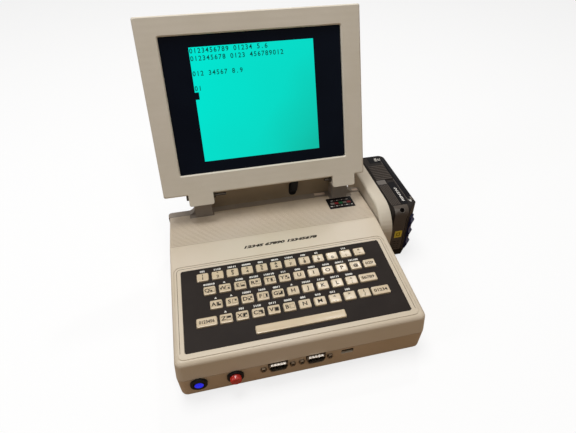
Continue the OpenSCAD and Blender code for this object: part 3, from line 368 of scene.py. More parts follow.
def anodised_plate():
    """Aluminium sheet, brushed lengthways, anodised and dyed black-brown: fine streaks and a dull sheen."""
    made, tree, shader, where = start("anodised_aluminium", "#28221f", 0.5, Specular_IOR_Level=0.06)
    long_way = add(tree, "Mapping", {"Scale": (0.03, 1.0, 1.0)}, {"Vector": where})
    brushed = add(
        tree, "TexNoise", {"Scale": per_mm(0.35), "Detail": 3.0}, {"Vector": long_way.outputs["Vector"]}
    )
    relief(tree, shader, brushed.outputs["Fac"], 0.01, edge=0.2)
    mottle(tree, shader, where, "#26201d", "#2c2623", 30)
    uneven_gloss(tree, shader, where, 0.5, 0.08, 15)
    return made


def lit_picture():
    """Lit part of a liquid crystal display: one colour, weaker towards the lower right."""
    made, tree, shader, where = start("lit_liquid_crystal", "#000000", 0.5, Specular_IOR_Level=0.0)
    turned = add(tree, "Mapping", {"Rotation": (0, math.radians(-35), 0)}, {"Vector": where})
    across = add(tree, "SeparateXYZ", (), {"Vector": turned.outputs["Vector"]})
    fade = add(tree, "MapRange", {"From Min": -0.17, "From Max": -0.016}, {"Value": across.outputs["X"]})
    uneven = add(tree, "TexNoise", {"Scale": per_mm(70), "Detail": 1.0}, {"Vector": where})
    mixed = add(tree, "Mix", {"Factor": 0.25}, {"A": fade.outputs["Result"], "B": uneven.outputs["Fac"]})
    tones = ((0.15, "#02e6d2"), (0.55, "#0adac6"), (0.88, "#12bca5"))
    tone = add(tree, "ValToRGB", {"stops": tones}, {"Fac": mixed.outputs["Result"]})
    tree.links.new(tone.outputs["Color"], shader.inputs["Emission Color"])
    shader.inputs["Emission Strength"].default_value = 1.0
    return made


def display_glass():
    """Satin polariser film over glass: near black with a breath of blue, and soft reflections."""
    made, tree, shader, where = start("display_polariser", "#070c17", 0.35, Specular_IOR_Level=0.04)
    film = add(tree, "TexNoise", {"Scale": per_mm(0.5), "Detail": 1.0}, {"Vector": where})
    relief(tree, shader, film.outputs["Fac"], 0.004)
    mottle(tree, shader, where, "#060a15", "#0a101b", 45)
    return made


def glass_fibre_board():
    """Green solder mask over glass fibre cloth, with the weave just showing."""
    made, tree, shader, where = start("glass_fibre_board", "#1c5a2c", 0.35)
    weave = add(tree, "TexChecker", {"Scale": per_mm(0.8)}, {"Vector": where})
    relief(tree, shader, weave.outputs["Fac"], 0.01)
    mottle(tree, shader, where, "#1c5a2c", "#174c27", 6)
    return made


# Old cover: warm beige, a shade yellower in patches, with a soft even sheen
ABS = moulded_abs("moulded_abs_cover", "#cec0ad", "#cabba4")
# Lower case, stained browner than the cover
TRAY_ABS = moulded_abs("moulded_abs_tray", "#bfa98e", "#b69f82")
# Display housing: off-white and dull, with its layers just showing
LID_PLA = printed_plastic("printed_pla_white", "#dcd4c5", "#d6cebd")
# Battery dock: ivory and dull, with layers that catch the light at their edges
DOCK_PLA = printed_plastic("printed_pla_ivory", "#cfc5b4", "#c7bca9")
# Ledge behind the cover: a cool grey that reads as a shadow line
GREY_PLA = printed_plastic("printed_pla_grey", "#968c81", "#8c8277")
# Rear block: brown, in the display's shade
BROWN_PLA = printed_plastic("printed_pla_brown", "#9c8b75", "#8f7f68")
# Keys: yellowed silicone rubber, wiped shiny, so the tops glint
KEY_RUBBER = plain_moulding("moulded_key_rubber", "#cab697", 0.22, 0.5, 0.015, Specular_IOR_Level=0.45)
# Printed marks on keys and cover: flat brown-black
LEGEND_INK = printing_ink("black_ink", "#2e2823")
# Figures on the dark plates: soft white
WHITE_INK = printing_ink("white_ink", "#dedad3")
# Painted shadow along the groove round the keyboard: a thin brown line
PAINTED_GROOVE_SHADOW = printing_ink("painted_groove_shadow", "#5c4e40")
# Lower edge of the card opening: pale, as painted light where the lamp falls on it
PAINTED_LIT_SILL = printing_ink("painted_lit_edge", "#c9bdab")
# Keyboard panel: black-brown sheet with a dull sheen along it
PANEL = anodised_plate()
# Collars, port inserts and terminals: black, with an even satin gloss
BLACK_NYLON = plain_moulding("moulded_black_nylon", "#141312", 0.4, Specular_IOR_Level=0.15)
# Feet and cable sheath: black without a glint
RUBBER = plain_moulding("moulded_black_rubber", "#171615", 0.75, 0.5, 0.03, Specular_IOR_Level=0.2)
# Screws: grey, bright where they face a lamp
STEEL = brushed_metal("nickel_plated_steel", "#a9a59c", 0.3)
# Port shells and their screws: tin, darkened and browned as painted shade and a painted reflection of the
# brown wall round them
SHELL_STEEL_PAINTED_SHADE = brushed_metal("tin_plate_painted_shade", "#7f7262", 0.4)
# Ribs on the port shells, near white as painted highlights: thin white glints
SHELL_RIB_HIGHLIGHTS = brushed_metal("painted_rib_highlight", "#fbf6ee", 0.45)
# Hinge bolts: near black, with a dull grey edge
BLACK_STEEL = brushed_metal("black_oxide_steel", "#4a443e", 0.4)
# Card socket and the plate in its slot: near black as painted shade, a dark gap with no gloss
SOCKET_PAINTED_SHADE = plain_moulding("black_socket_painted_shade", "#1e1b18", 0.5, Specular_IOR_Level=0.15)
BOARD = glass_fibre_board()
GLASS = display_glass()
PICTURE = lit_picture()
# Dark pixels of the picture: deep green strokes that don't shine
PICTURE_INK = printing_ink("unlit_pixels", "#0a6257", 0.5)
# Battery case: grey-black, with a coarse dull grain
BATTERY = plain_moulding("glass_filled_nylon", "#241f1c", 0.45, 0.9, 0.05, Specular_IOR_Level=0.07)
# Ridged fields of the battery, a lighter grey, and a plate over its front, lighter as painted light
BATTERY_RIDGE_AND_LIT_FRONT = plain_moulding("textured_nylon_and_painted_light", "#554d46", 0.55, 0.9, 0.05, Specular_IOR_Level=0.07)
# Steps and rims of the battery: glossy, with their highlights painted in as a lighter grey
BATTERY_PAINTED_HIGHLIGHT = plain_moulding("polished_nylon_painted_highlight", "#5c554e", 0.25, 0.9, 0.02, Specular_IOR_Level=0.4)
# Soft outer bead of the battery: the blackest part, without gloss
BATTERY_RIM = plain_moulding("soft_grip_elastomer", "#121113", 0.6, 0.5, 0.03, Specular_IOR_Level=0.06)
# Release latch of the battery: navy, blue only where it is lit
BATTERY_BLUE = plain_moulding("moulded_blue_nylon", "#181e48", 0.35, 0.6, 0.03, Specular_IOR_Level=0.35)
# Blue button: a weak glow painted in, so that it reads bright blue
BLUE_PAINTED_GLOW = plain_moulding(
    "blue_painted_glow", "#0f22ff", 0.2, 0.6, 0.005, Emission_Color=colour("#1426ff"), Emission_Strength=0.45
)
# Red button: solid colour, with one small sharp highlight
RED = plain_moulding("moulded_red_acetal", "#c02a1e", 0.2, 0.6, 0.005)
# Key contacts: green-grey film, half glossy
FILM = plain_moulding("contact_film", "#3d6a52", 0.4)
# Battery cells: teal sleeves, tight and smooth
SLEEVE = plain_moulding("heat_shrink_sleeve", "#1f6f70", 0.35)
# Frame of the display panel: plain grey metal with a dull shine
PRESSED = brushed_metal("pressed_aluminium", "#a5a5a2", 0.4)
# Pale patches on the ledge, painted light where the ledge is lit past the display's shadow: pale and matt, a
# little woolly
LEDGE_LIGHT_PATCH = plain_moulding("painted_ledge_light", "#dcc8b8", 0.9, 0.4, 0.08, Specular_IOR_Level=0.1)
# Battery label: flat yellow with an olive square
YELLOW_LABEL = printing_ink("yellow_label", "#d8c248", 0.5)
OLIVE_INK = printing_ink("olive_ink", "#94801f", 0.5)
# Badge plate: black foil with dull red, green and grey blocks
BADGE_FOIL = printing_ink("black_foil", "#121010", 0.35)
BADGE_RED = printing_ink("red_ink", "#8c3030", 0.5)
BADGE_GREEN = printing_ink("green_ink", "#2a7046", 0.5)
BADGE_GREY = printing_ink("grey_ink", "#7c746c", 0.5)

CAD_FINISH = {
    "base_tray": TRAY_ABS, "top_cover": ABS, "rear_ledge": GREY_PLA, "rear_block": BROWN_PLA,
    "key_panel": PANEL, "key_contact_sheet": FILM, "main_board": BOARD, "power_board": BOARD,
    "joystick_port_shells": SHELL_STEEL_PAINTED_SHADE, "joystick_port_inserts": BLACK_NYLON, "button_collars": BLACK_NYLON,
    "memory_card_socket": SOCKET_PAINTED_SHADE, "battery_dock": DOCK_PLA, "dock_terminals": BLACK_NYLON,
    "badge_plate": BADGE_FOIL, "rubber_feet": RUBBER, "case_screws": STEEL, "rear_sockets": BLACK_NYLON,
    "lid_bezel": LID_PLA, "lid_back": LID_PLA, "lcd_panel": PRESSED,
    "screen_glass": GLASS, "display_board": BOARD, "hinge_bolts": BLACK_STEEL, "lid_screws": STEEL,
    "battery_case": BATTERY, "battery_release": BATTERY_BLUE, "battery_cells": SLEEVE,
}
for name, finish in CAD_FINISH.items():
    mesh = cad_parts[name].data
    mesh.materials.clear()
    mesh.materials.append(finish)


# ---------- keyboard ----------

FLANGE_LOW = -1.9
FLANGE_TOP = -1.0
DISH = 0.1
KEY_TOP = KEY_RISE - 0.45 * DISH
EASE = 0.4
INK = 1  # number of the ink among a key's materials
PRINT_UP = 0.02  # how far a printed mark lies over its surface


def add_key(build, x, s, w, d):
    """A rubber key: flange under the panel, upright sides, an eased edge and a faintly dished top."""
    rings = [
        rounded(w + 1.4, d + 1.4, 1.2, FLANGE_LOW), rounded(w + 1.4, d + 1.4, 1.2, FLANGE_TOP),
        rounded(w, d, 1, FLANGE_TOP), rounded(w, d, 1, KEY_RISE - EASE),
    ]
    for i in range(1, 4):
        a = math.radians(30 * i)
        ease = 0.9 * EASE * (1 - math.cos(a))
        rings.append(rounded(w - 2 * ease, d - 2 * ease, 1 - ease, KEY_RISE - EASE + EASE * math.sin(a)))
    rings.append(rounded(w - 2.6, d - 2.6, 0.6, KEY_RISE - 0.5 * DISH))
    rings.append(rounded(w - 6, d - 6, 0.4, KEY_RISE - DISH))
    build.loft(rings, deck(x, s))


def bar(build, x, s, w, d):
    """Flat inked bar on a key's top."""
    corners = [(-w / 2, -d / 2, 0), (w / 2, -d / 2, 0), (w / 2, d / 2, 0), (-w / 2, d / 2, 0)]
    build.add(corners, [[0, 1, 2, 3]], deck(x, s, KEY_TOP + PRINT_UP), INK)


def add_block_sign(build, cells, x, s):
    """Block graphic of two by two cells: the filled ones as squares, the others as dots at their corners."""
    cell = 1.6
    for side in (-1, 1):
        bar(build, x + side * 1.95, s, 0.3, 4.2)
        bar(build, x, s + side * 1.95, 3.6, 0.3)
    for column in (0, 1):
        for row in (0, 1):
            filled = cells >> (2 * row + column) & 1
            size = cell if filled else 0.45
            out = (cell - size) / 2 if filled else (cell - size)
            bar(
                build, x + (column - 0.5) * (cell + 2 * out), s + (row - 0.5) * (cell + 2 * out), size, size
            )


LETTER_ROWS = ("QWERTYUIOP", "ASDFGHJKL", "ZXCVBNM")
BLOCK_COLUMNS = (6, 5, 5)
cells = 0
for row, letters in enumerate(LETTER_ROWS, start=1):
    for column, letter in enumerate(letters):
        key = Build()
        x, s = key_x(row, column), key_s(row)
        add_key(key, x, s, KEY_W, KEY_D)
        with_block = column < BLOCK_COLUMNS[row - 1]
        letter_at = deck(x - (2.2 if with_block else 0), s, KEY_TOP + PRINT_UP)
        key.lettering(letter, 3.8, letter_at, INK, 1.1, 0.12)
        if with_block:
            cells += 1
            add_block_sign(key, cells, x + 2.4, s)
        node_name = "key_" + letter.lower()
        key.piece("cap_" + letter.lower(), [KEY_RUBBER, LEGEND_INK], node_name, [node_name])

SIGN_KEYS = [(0, i, "1234567890:-"[i], "!\"#$%&'() *="[i]) for i in range(12)]
SIGN_KEYS += [(1, 10, "@", ""), (2, 9, ";", "+"), (3, 7, ",", "<"), (3, 8, ".", ">"), (3, 9, "/", "?")]
keys = Build()
for row, column, lower, upper in SIGN_KEYS:
    x, s = key_x(row, column), key_s(row)
    add_key(keys, x, s, KEY_W, KEY_D)
    keys.lettering(lower, 2.9, deck(x, s - (1.7 if upper else 0), KEY_TOP + PRINT_UP), INK, 1.15, 0.13)
    if upper.strip():
        keys.lettering(upper, 2.5, deck(x, s + 1.9, KEY_TOP + PRINT_UP), INK, 1.15, 0.12)
keys.piece("number_caps", [KEY_RUBBER, LEGEND_INK], "number_keys", ["number_keys"])

# Wide keys with plain figures: place in pitches, row, width in pitches, figures
WORD_KEYS = [
    (-0.01, 3, 1.24, "0123456"), (11.31, 3, 1.2, "01234"),
    (10.84, 2, 1.2, "56789"), (11.36, 1, 0.83, "01234"),
]
words = Build()
for place, row, width, figures in WORD_KEYS:
    x, s, w = FIRST_KEY_X + place * KEY_PITCH, key_s(row), width * KEY_PITCH
    add_key(words, x, s, w, KEY_D)
    stretch = (w - 3.2) / len(figures) / 2.2
    words.lettering(figures, 2.9, deck(x, s, KEY_TOP + PRINT_UP), INK, stretch, 0.11)
words.piece("word_caps", [KEY_RUBBER, LEGEND_INK], "command_keys", ["command_keys"])

space = Build()
add_key(space, FIRST_KEY_X + 5.67 * KEY_PITCH, key_s(4.03), SPACE_W, KEY_D - 1)
space.piece("space_bar_cap", [KEY_RUBBER], "space_bar", ["space_bar"])

# White figures printed on the panel above the keys. Each digit below is how many figures stand over the next
# key of its row, and 1 is a small arrow instead.
FIGURE_COUNTS = ("345534532034", "614563344563", "1154415454", "134443333")
codes = Build()
INK_H = -PANEL_DROP + PRINT_UP
for row, counts in enumerate(FIGURE_COUNTS):
    for column, count in enumerate(counts):
        count = int(count)
        x = key_x(row, column)
        s = key_s(row) + KEY_D / 2 + 3.3
        if count == 1:
            codes.add([(-1.2, -0.9, 0), (1.2, -0.9, 0), (0, 1.1, 0)], [[0, 1, 2]], deck(x, s, INK_H))
        elif count > 1 and column < 11:
            # Ones and noughts that differ from key to key
            figures = f"{(41 * column + 13 * row + 5) % 2 ** count:0{count}b}"
            codes.lettering(figures, 1.8, deck(x, s, INK_H), 0, 1.3, 0.16)
codes.piece("panel_print", [WHITE_INK], "computer")

# Thin line inside the groove round the keyboard, open at the front: painted shadow of the groove's edge
LINE_IN = 3.9
groove_shadow_line = Build()
line_w, line_d = PANEL_W + 2 * LINE_IN, PANEL_D + 2 * (LINE_IN - 0.8)
outer = rounded(line_w, line_d, 4, PRINT_UP, 6)
inner = rounded(line_w - 0.8, line_d - 0.8, 3.6, PRINT_UP, 6)
count = len(outer)
sides = [[i, (i + 1) % count, count + (i + 1) % count, count + i] for i in range(count)]
sides = [f for f in sides if outer[f[0]][1] > 0 or outer[f[1]][1] > 0]
groove_shadow_line.add(outer + inner, sides, deck(PANEL_X, PANEL_S + PANEL_D / 2, 0))
groove_shadow_line.piece("groove_shadow_line", [PAINTED_GROOVE_SHADOW], "computer")

# Row of plain figures on the cover behind the keyboard
COVER_FIGURES_S = 112.0
numbering = Build()
numbering.lettering("12345 67890 12345678", 2.9, deck(0, COVER_FIGURES_S, 0.03), 0, 1.88, 0.26, 0.3)
numbering.piece("cover_print", [LEGEND_INK], "computer")

# Coloured blocks and tick rows on the badge plate
GREY_BLOCK, RED_BLOCK, GREEN_BLOCK, WHITE_TICK = range(4)
BLOCK_PITCH = 4.7
TICK_PITCH = 2.9
badge_low, badge_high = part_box("badge_plate")
badge_x = (badge_low[0] + badge_high[0]) / 2 / MM
badge_y = (badge_low[1] + badge_high[1]) / 2 / MM
badge_s = (badge_y - CREASE_Y) / math.cos(REAR_FALL)
badge = Build()
for i, number in enumerate((GREY_BLOCK, RED_BLOCK, GREEN_BLOCK, GREY_BLOCK, RED_BLOCK)):
    at = rear_slope(badge_x + (i - 2) * BLOCK_PITCH, badge_s - 0.3, 0.1)
    badge.plate(4.2, 3.4, 0.02, 0.1, at, number)
for row, count in ((-1, 9), (1, 7)):
    for i in range(count):
        tick = 1.6 if i % 3 else 2.6
        at = rear_slope(badge_x + (i - (count - 1) / 2) * TICK_PITCH, badge_s - 0.3 + row * 5.2, 0.1)
        badge.plate(tick, 0.9, 0.02, 0.1, at, GREY_BLOCK if i % 2 else WHITE_TICK)
badge.piece("badge_print", [BADGE_GREY, BADGE_RED, BADGE_GREEN, WHITE_INK], "computer")

# Pale patches on the ledge, on both sides of the right hinge post, as painted light where the ledge is lit
pads = Build()
for x, y in ((61.0, 89.9), (100.4, 88.8)):
    pads.plate(12.4, 3.4, 0.7, 0.4, Matrix.Translation((x, y, LEDGE_Z)), 0, 0.25)
pads.piece("ledge_light_patches", [LEDGE_LIGHT_PATCH], "computer")

# Ribs along the top of each port's shell, near white as painted highlights
RIB_COUNT = 5
RIB_PITCH = 2.6
port_tops = Build()
for x in PORTS:
    for i in range(RIB_COUNT):
        at = Matrix.Translation((x + (i - (RIB_COUNT - 1) / 2) * RIB_PITCH, FRONT_Y - 1.15, PORT_TOP))
        port_tops.plate(2.3, 1.9, 0.12, 0.3, at, 0, 0.05)
port_tops.piece("port_shell_rib_highlights", [SHELL_RIB_HIGHLIGHTS], "computer")

# Lower edge of the memory card opening, pale as painted light, and above it a dark plate as painted shade in
# the slot
CARD_X = 36
CARD_LOW = 16.9
SILL, SLOT_SHADE = range(2)
sill = Build()
sill.plate(10.9, 1.6, 0.12, 0.1, Matrix.Translation((CARD_X, FRONT_Y + 0.85, CARD_LOW)), SILL, 0.05)
sill.plate(10.8, 3.4, 0.3, 0.2, upright(CARD_X, FRONT_Y + 1.3, CARD_LOW + 3.85), SLOT_SHADE, 0.05)
sill.piece("card_opening", [PAINTED_LIT_SILL, SOCKET_PAINTED_SHADE], "computer")


# ---------- push buttons ----------

COLLAR_OUT = 2.4
BUTTON_SEAT = 0.6
BUTTON_Z = 17.7
CAP_R = 4.8
BARREL = 6.6
CROWN, SIDE = range(2)


def add_button(name, x, rise, finish, rim):
    """A push button: stop flange behind the wall, shank, and a crowned cap with a ring pressed into it."""
    top = COLLAR_OUT + rise - 0.01
    profile = [
        (CAP_R + 0.7, -BARREL - 1.1), (CAP_R + 0.7, -BARREL - 0.1),
        (CAP_R, -BARREL - 0.1), (CAP_R, top - 1.2),
        (CAP_R - 0.15, top - 0.8), (CAP_R - 0.55, top - 0.4), (CAP_R - 1.1, top - 0.12), (2.9, top),
        (2.6, top - 0.3), (2.1, top - 0.35), (1.7, top - 0.1), (1.0, top - 0.02), (0.4, top),
    ]
    made = Build()
    place = upright(x, FRONT_Y + BUTTON_SEAT, BUTTON_Z)
    rings = [circle(r, h) for r, h in profile]
    made.loft(rings[:7], place, SIDE, (True, False))
    made.loft(rings[6:], place, CROWN, (False, True))
    made.piece(name + "_cap", [finish, rim], name, [name])


BLUE_X, BLUE_RISE = -91.5, 0.6
RED_X, RED_RISE = -61.5, 4.2
add_button("blue_button", BLUE_X, BLUE_RISE, BLUE_PAINTED_GLOW, BLACK_NYLON)
add_button("red_button", RED_X, RED_RISE, RED, RED)

# ---------- display ----------

LIT, STROKE, CURSOR = range(3)
picture = Build()
PICTURE_LEFT, PICTURE_RIGHT, PICTURE_LOW, PICTURE_HIGH = -61.4, 56.9, 32.2, 139.0
picture_w = PICTURE_RIGHT - PICTURE_LEFT
picture_h = PICTURE_HIGH - PICTURE_LOW
CHARACTER = picture_w / 32
LINE = picture_h / 16
picture_middle = ((PICTURE_LEFT + PICTURE_RIGHT) / 2, (PICTURE_LOW + PICTURE_HIGH) / 2)
picture.plate(picture_w, picture_h, 0.06, 0.3, lid(*picture_middle, GLASS_TOP - 0.05), LIT)
TEXT_LINES = {0: "0123456789 01234 5.6", 1: "012345678 0123 456789012", 3: "012 34567 8.9", 5: "01"}
for line, text in TEXT_LINES.items():
    for i, sign in enumerate(text):
        if sign != " ":
            at = lid(
                PICTURE_LEFT + (i + 0.5) * CHARACTER, PICTURE_HIGH - (line + 0.5) * LINE, GLASS_TOP + 0.03
            )
            picture.lettering(sign, 4.3, at, STROKE, 0.95, 0.09)
CURSOR_LINE = 6
at = lid(PICTURE_LEFT + CHARACTER / 2, PICTURE_HIGH - (CURSOR_LINE + 0.5) * LINE, GLASS_TOP + 0.015)
picture.plate(CHARACTER, LINE, 0.02, 0.1, at, CURSOR)
picture.piece("screen_picture", [PICTURE, PICTURE_INK, GLASS], "display_lid")

# Sheathed cable of the display, from the rear block to the lid's lower wall
CABLE_X = 30.0
CABLE_W = 8.0
CABLE_T = 2.0
slot_z = LEDGE_Z + 11
entry = -AXIS_BACK - 1.4 - CABLE_T / 2
cable_stops = [
    Vector((CABLE_X, BACK_Y + 3, slot_z - 2)), Vector((CABLE_X, BACK_Y - 7, slot_z - 3)),
    Vector((CABLE_X, AXIS_Y + 8, AXIS_H - 10)), lid(CABLE_X, 2, entry) @ Vector((0, 0, 0)),
]


def cable_point(u):
    a, b, c, d = cable_stops
    return (1 - u) ** 3 * a + 3 * u * (1 - u) ** 2 * b + 3 * u * u * (1 - u) * c + u ** 3 * d


cable = Build()
rings = []
STEPS = 24
for i in range(STEPS + 1):
    u = i / STEPS
    along = (cable_point(min(u + 0.01, 1)) - cable_point(max(u - 0.01, 0))).normalized()
    across = Vector((1, 0, 0))
    up = along.cross(across)
    ring = rounded(CABLE_W, CABLE_T, CABLE_T / 2 - 0.02, 0, 5)
    rings.append([cable_point(u) + across * p[0] + up * p[1] for p in ring])
cable.loft(rings)
cable_piece = cable.piece("display_cable_sheath", [RUBBER], None, ["display_cable"])
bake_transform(cable_piece)

grommet = Build()
rings = [rounded(CABLE_W + 0.5, 17.9, CABLE_W / 2, h, 8) for h in (0, 2.4)]
grommet.loft(rings, upright(CABLE_X, BACK_Y + 2.3, slot_z))
grommet.piece("cable_grommet", [BLACK_NYLON], "computer", ["display_cable"])

# ---------- battery ----------

PACK_TOP = 65.0
PACK_FRONT = 25.0
LANE_X, LANE_Y, LANE_L = 125.0, 52.5, 36  # first ridge of the inner lane
FIELD_X, FIELD_Y, FIELD_W = 134.8, 81.4, 19.5  # first ridge of the raised field
STRIP_X = 139.6  # bare strip, and the figures on it
BEAD_X, BEAD_Y, BEAD_L = 148.3, 80.5, 84  # soft bead along the outer edge
REAR_Y = 120.5  # bare patch near the rear end
LABEL_X, LABEL_Z = 133.2, 30.4
PAINTED_HIGHLIGHT, SOFT, YELLOW, OLIVE, WHITE, GREY, RIDGED_AND_LIT_FRONT = range(7)


def on_pack(x, y, up=0.0):
    """Place on the battery's level top."""
    return Matrix.Translation((x, y, PACK_TOP + up))


def brow_band(left, right, degrees, out):
    """The two ends of a line across the battery's rounded front top edge."""
    a = math.radians(degrees)
    y, z = BROW_Y - (BROW_R + out) * math.cos(a), BROW_Z + (BROW_R + out) * math.sin(a)
    return [(left, y, z), (right, y, z)]


def ribbon(count):
    """Faces of a ribbon whose points come in pairs."""
    return [[2 * i, 2 * i + 1, 2 * i + 3, 2 * i + 2] for i in range(count)]


trim = Build()
# Fine ridges on the inner lane of the top, and on the raised field behind it
for i in range(6):
    trim.plate(0.8, LANE_L, 0.25, 0.2, on_pack(LANE_X + i * 1.8, LANE_Y, -0.05), RIDGED_AND_LIT_FRONT, 0.1)
for i in range(9):
    trim.plate(FIELD_W, 1.4, 0.25, 0.2, on_pack(FIELD_X, FIELD_Y + i * 3.2, 0.55), RIDGED_AND_LIT_FRONT, 0.1)
# Step in front of the raised field, lighter grey as a painted highlight
step = [(-5.2, -3.6, 0), (5.2, -3.6, 0), (5.2, 3.6, 0), (-5.2, 3.6, 0)]
step += [(-5.2, -3.6, 0.1), (5.2, -3.6, 0.1), (5.2, 3.6, 0.62), (-5.2, 3.6, 0.62)]
sides = [[0, 3, 2, 1], [4, 5, 6, 7], [0, 1, 5, 4], [1, 2, 6, 5], [2, 3, 7, 6], [3, 0, 4, 7]]
trim.add(step, sides, on_pack(129.2, 75.3), PAINTED_HIGHLIGHT)
# Bare black strip beside the inner lane, and the soft bead along the outer edge
trim.plate(7.6, 40, 0.12, 0.8, on_pack(STRIP_X, 54), SOFT, 0.05)
bead = [rounded(5.6, BEAD_L, 2.2, 0, 5), rounded(5.6, BEAD_L, 2.2, 0.3, 5)]
bead.append(rounded(4.6, BEAD_L - 1, 1.7, 0.6, 5))
trim.loft(bead, on_pack(BEAD_X, BEAD_Y, -0.05), SOFT)
# Painted highlight along the inner edge of the bead
trim.plate(0.5, BEAD_L, 0.35, 0.2, on_pack(BEAD_X - 3.4, BEAD_Y), PAINTED_HIGHLIGHT, 0.1)
trim.plate(16, 12, 0.14, 0.6, on_pack(138.5, REAR_Y, -0.02), SOFT, 0.05)
# Painted highlight on the rounded front edge, widest half way up it, with dull fields, and a hole's rim with
# a painted highlight
BROW_R = 8.0
BROW_Y, BROW_Z = PACK_FRONT + BROW_R, PACK_TOP - BROW_R
patch = []
for degrees in range(24, 74, 7):
    width = 5.4 * math.sin(math.radians((degrees - 24) * 3.6)) ** 2
    patch += brow_band(125.2, 125.4 + width, degrees, 0.1)
trim.add(patch, ribbon(len(patch) // 2 - 1), number=PAINTED_HIGHLIGHT)
BROW_FIELDS = ((125.2, 140.8, -2, 26), (125.2, 130.6, 26, 64), (136, 140.8, 26, 64), (125.2, 140.8, 64, 92))
for left, right, first, last in BROW_FIELDS:
    field = []
    for i in range(7):
        field += brow_band(left, right, first + (last - first) * i / 6, 0.05)
    trim.add(field, ribbon(6), number=RIDGED_AND_LIT_FRONT)
hole_y, hole_z = brow_band(0, 0, 45, 0)[0][1:]
rim_place = Matrix.Translation((133.3, hole_y, hole_z)) @ Matrix.Rotation(math.radians(45), 4, "X")
rim = circle(3.3, -0.6) + circle(2.55, 0.1) + circle(3.2, 0.06)
n = len(rim) // 3
outer_wall = [[2 * n + i, i, (i + 1) % n, 2 * n + (i + 1) % n] for i in range(n)]
face_ring = [[n + i, 2 * n + i, 2 * n + (i + 1) % n, n + (i + 1) % n] for i in range(n)]
trim.add(rim, face_ring + outer_wall, rim_place, PAINTED_HIGHLIGHT)
# Front lightened by a plate as painted light, with its label, rows of small dark marks below it and a seam
# beside it
trim.plate(15.6, 50, 0.06, 1.5, upright(133, PACK_FRONT + 0.01, 32), RIDGED_AND_LIT_FRONT)
trim.plate(8.4, 9.6, 0.14, 0.5, upright(LABEL_X, PACK_FRONT, LABEL_Z), YELLOW)
trim.plate(4.4, 5.2, 0.03, 0.4, upright(LABEL_X, PACK_FRONT - 0.14, LABEL_Z), OLIVE)
trim.plate(2.0, 2.6, 0.03, 0.3, upright(LABEL_X, PACK_FRONT - 0.17, LABEL_Z), YELLOW)
for i in range(4):
    z = 19.5 - 3.2 * i
    trim.plate(4.6, 0.8, 0.1, 0.2, upright(129.6 + 0.6 * (i % 2), PACK_FRONT, z), SOFT)
    trim.plate(2.8, 0.8, 0.1, 0.2, upright(135.2, PACK_FRONT, z), SOFT)
trim.plate(0.7, 52, 0.1, 0.2, upright(STRIP_X, PACK_FRONT, 29), SOFT)
# White figures, and a grey row beside them
trim.lettering("0123456", 2.5, lengthways(STRIP_X + 0.2, 51.5, PACK_TOP + 0.14), WHITE, 1.95, 0.12, 0.3)
trim.lettering("78", 2.4, lengthways(146.6, 38.5, PACK_TOP + 0.6), WHITE, 1.3, 0.06, 0.3)
trim.lettering("901", 2.4, lengthways(149.2, 41.5, PACK_TOP + 0.6), GREY, 1.3, 0.12, 0.3)
for i, figures in enumerate(("901", "23")):
    at = lengthways(STRIP_X + 4.4 * i, REAR_Y, PACK_TOP + 0.14)
    trim.lettering(figures, 3.2, at, WHITE, 1.0, 0.16)
BATTERY_FINISHES = [
    BATTERY_PAINTED_HIGHLIGHT, BATTERY_RIM, YELLOW_LABEL, OLIVE_INK, WHITE_INK, BADGE_GREY, BATTERY_RIDGE_AND_LIT_FRONT,
]
trim.piece("battery_trim", BATTERY_FINISHES, "battery")

# ---------- camera, light and floor ----------

CAMERA_AT = Vector((-57.738, -282.94, 350.238)) * MM
LOOK = Vector((0.17267, 0.74772, -0.64118))
UP = Vector((0.14243, 0.62516, 0.76739))
side = LOOK.cross(UP).normalized()
camera = bpy.data.objects.new("camera", bpy.data.cameras.new("camera"))
camera.matrix_world = Matrix((
    (side.x, UP.x, -LOOK.x, CAMERA_AT.x),
    (side.y, UP.y, -LOOK.y, CAMERA_AT.y),
    (side.z, UP.z, -LOOK.z, CAMERA_AT.z),
    (0, 0, 0, 1),
))
camera.data.sensor_width = 36
camera.data.lens = 26.676
# Small shift that puts the object at its place in the frame
camera.data.shift_x = -0.0064
camera.data.shift_y = -0.0101
bpy.context.scene.collection.objects.link(camera)
bpy.context.scene.camera = camera


def area_light(name, at, to, size, power, tone="#ffffff"):
    lamp = bpy.data.lights.new(name, "AREA")
    lamp.shape = "DISK"
    lamp.size = size
    lamp.energy = power
    lamp.color = colour(tone)[:3]
    made = bpy.data.objects.new(name, lamp)
    made.location = at
    made.rotation_mode = "QUATERNION"
    made.rotation_quaternion = (Vector(to) - Vector(at)).to_track_quat("-Z", "Y")
    bpy.context.scene.collection.objects.link(made)


area_light("overhead", (-0.15, 0.2, 1.6), (0, 0, 0.05), 0.7, 15)
area_light("behind", (0.448, 0.79, 1.36), (0.045, -0.03, 0.05), 0.1, 2.4)
area_light("front", (0.25, -0.75, 1.4), (0, 0, 0.05), 0.2, 2.2, "#fff4e6")
area_light("left", (-1.3, -0.2, 1.0), (0, 0, 0.1), 0.4, 3, "#eef2ff")

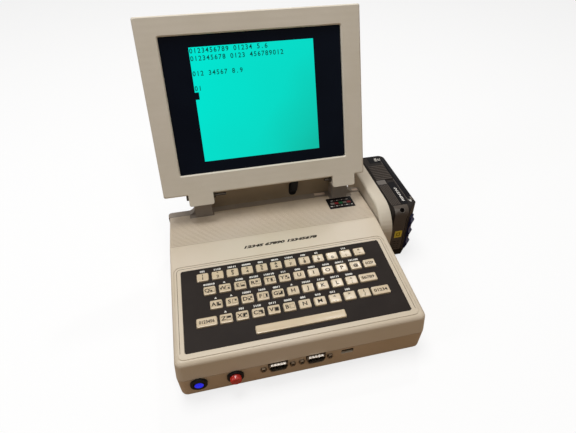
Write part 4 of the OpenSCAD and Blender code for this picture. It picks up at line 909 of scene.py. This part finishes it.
FLOOR_Z = -4 * MM
REACH = 6.0
CORNERS = ((-1, -1), (1, -1), (1, 1), (-1, 1))
floor_mesh = bpy.data.meshes.new("floor")
floor_mesh.from_pydata([(x * REACH, y * REACH, FLOOR_Z) for x, y in CORNERS], [], [[0, 1, 2, 3]])
floor = bpy.data.objects.new("floor", floor_mesh)
bpy.context.scene.collection.objects.link(floor)
# Pale card: it shows near white with a soft shadow on it, and what it throws back is warm, as off a bench
paper = bpy.data.materials.new("pale_card")
paper.use_nodes = True
tree = paper.node_tree
tree.nodes.clear()
rays = add(tree, "LightPath")
bench = add(tree, "BsdfDiffuse", {"Color": colour("#a48a6e")})
card = add(tree, "BsdfDiffuse", {"Color": colour("#ffffff")})
white = add(tree, "Emission", {"Color": colour("#ffffff"), "Strength": 1.0})
seen = add(tree, "MixShader", {"Fac": 0.78}, {1: card.outputs["BSDF"], 2: white.outputs["Emission"]})
both = add(
    tree, "MixShader", (),
    {"Fac": rays.outputs["Is Camera Ray"], 1: bench.outputs["BSDF"], 2: seen.outputs["Shader"]},
)
add(tree, "OutputMaterial", (), {"Surface": both.outputs["Shader"]})
floor_mesh.materials.append(paper)

world = bpy.data.worlds.new("studio")
bpy.context.scene.world = world
world.use_nodes = True
tree = world.node_tree
tree.nodes.clear()
rays = add(tree, "LightPath")
soft = add(tree, "Background", {"Color": colour("#fffaf4"), "Strength": 0.22})
clear = add(tree, "Background", {"Color": colour("#ffffff"), "Strength": 1.0})
direct = add(tree, "Math", {"operation": "MAXIMUM"})
tree.links.new(rays.outputs["Is Camera Ray"], direct.inputs[0])
tree.links.new(rays.outputs["Is Glossy Ray"], direct.inputs[1])
through = add(tree, "Math", {"operation": "MAXIMUM"})
tree.links.new(direct.outputs["Value"], through.inputs[0])
tree.links.new(rays.outputs["Is Transmission Ray"], through.inputs[1])
backdrop = add(
    tree, "MixShader", (),
    {"Fac": through.outputs["Value"], 1: soft.outputs["Background"], 2: clear.outputs["Background"]},
)
add(tree, "OutputWorld", (), {"Surface": backdrop.outputs["Shader"]})

bpy.context.scene.view_settings.view_transform = "Standard"
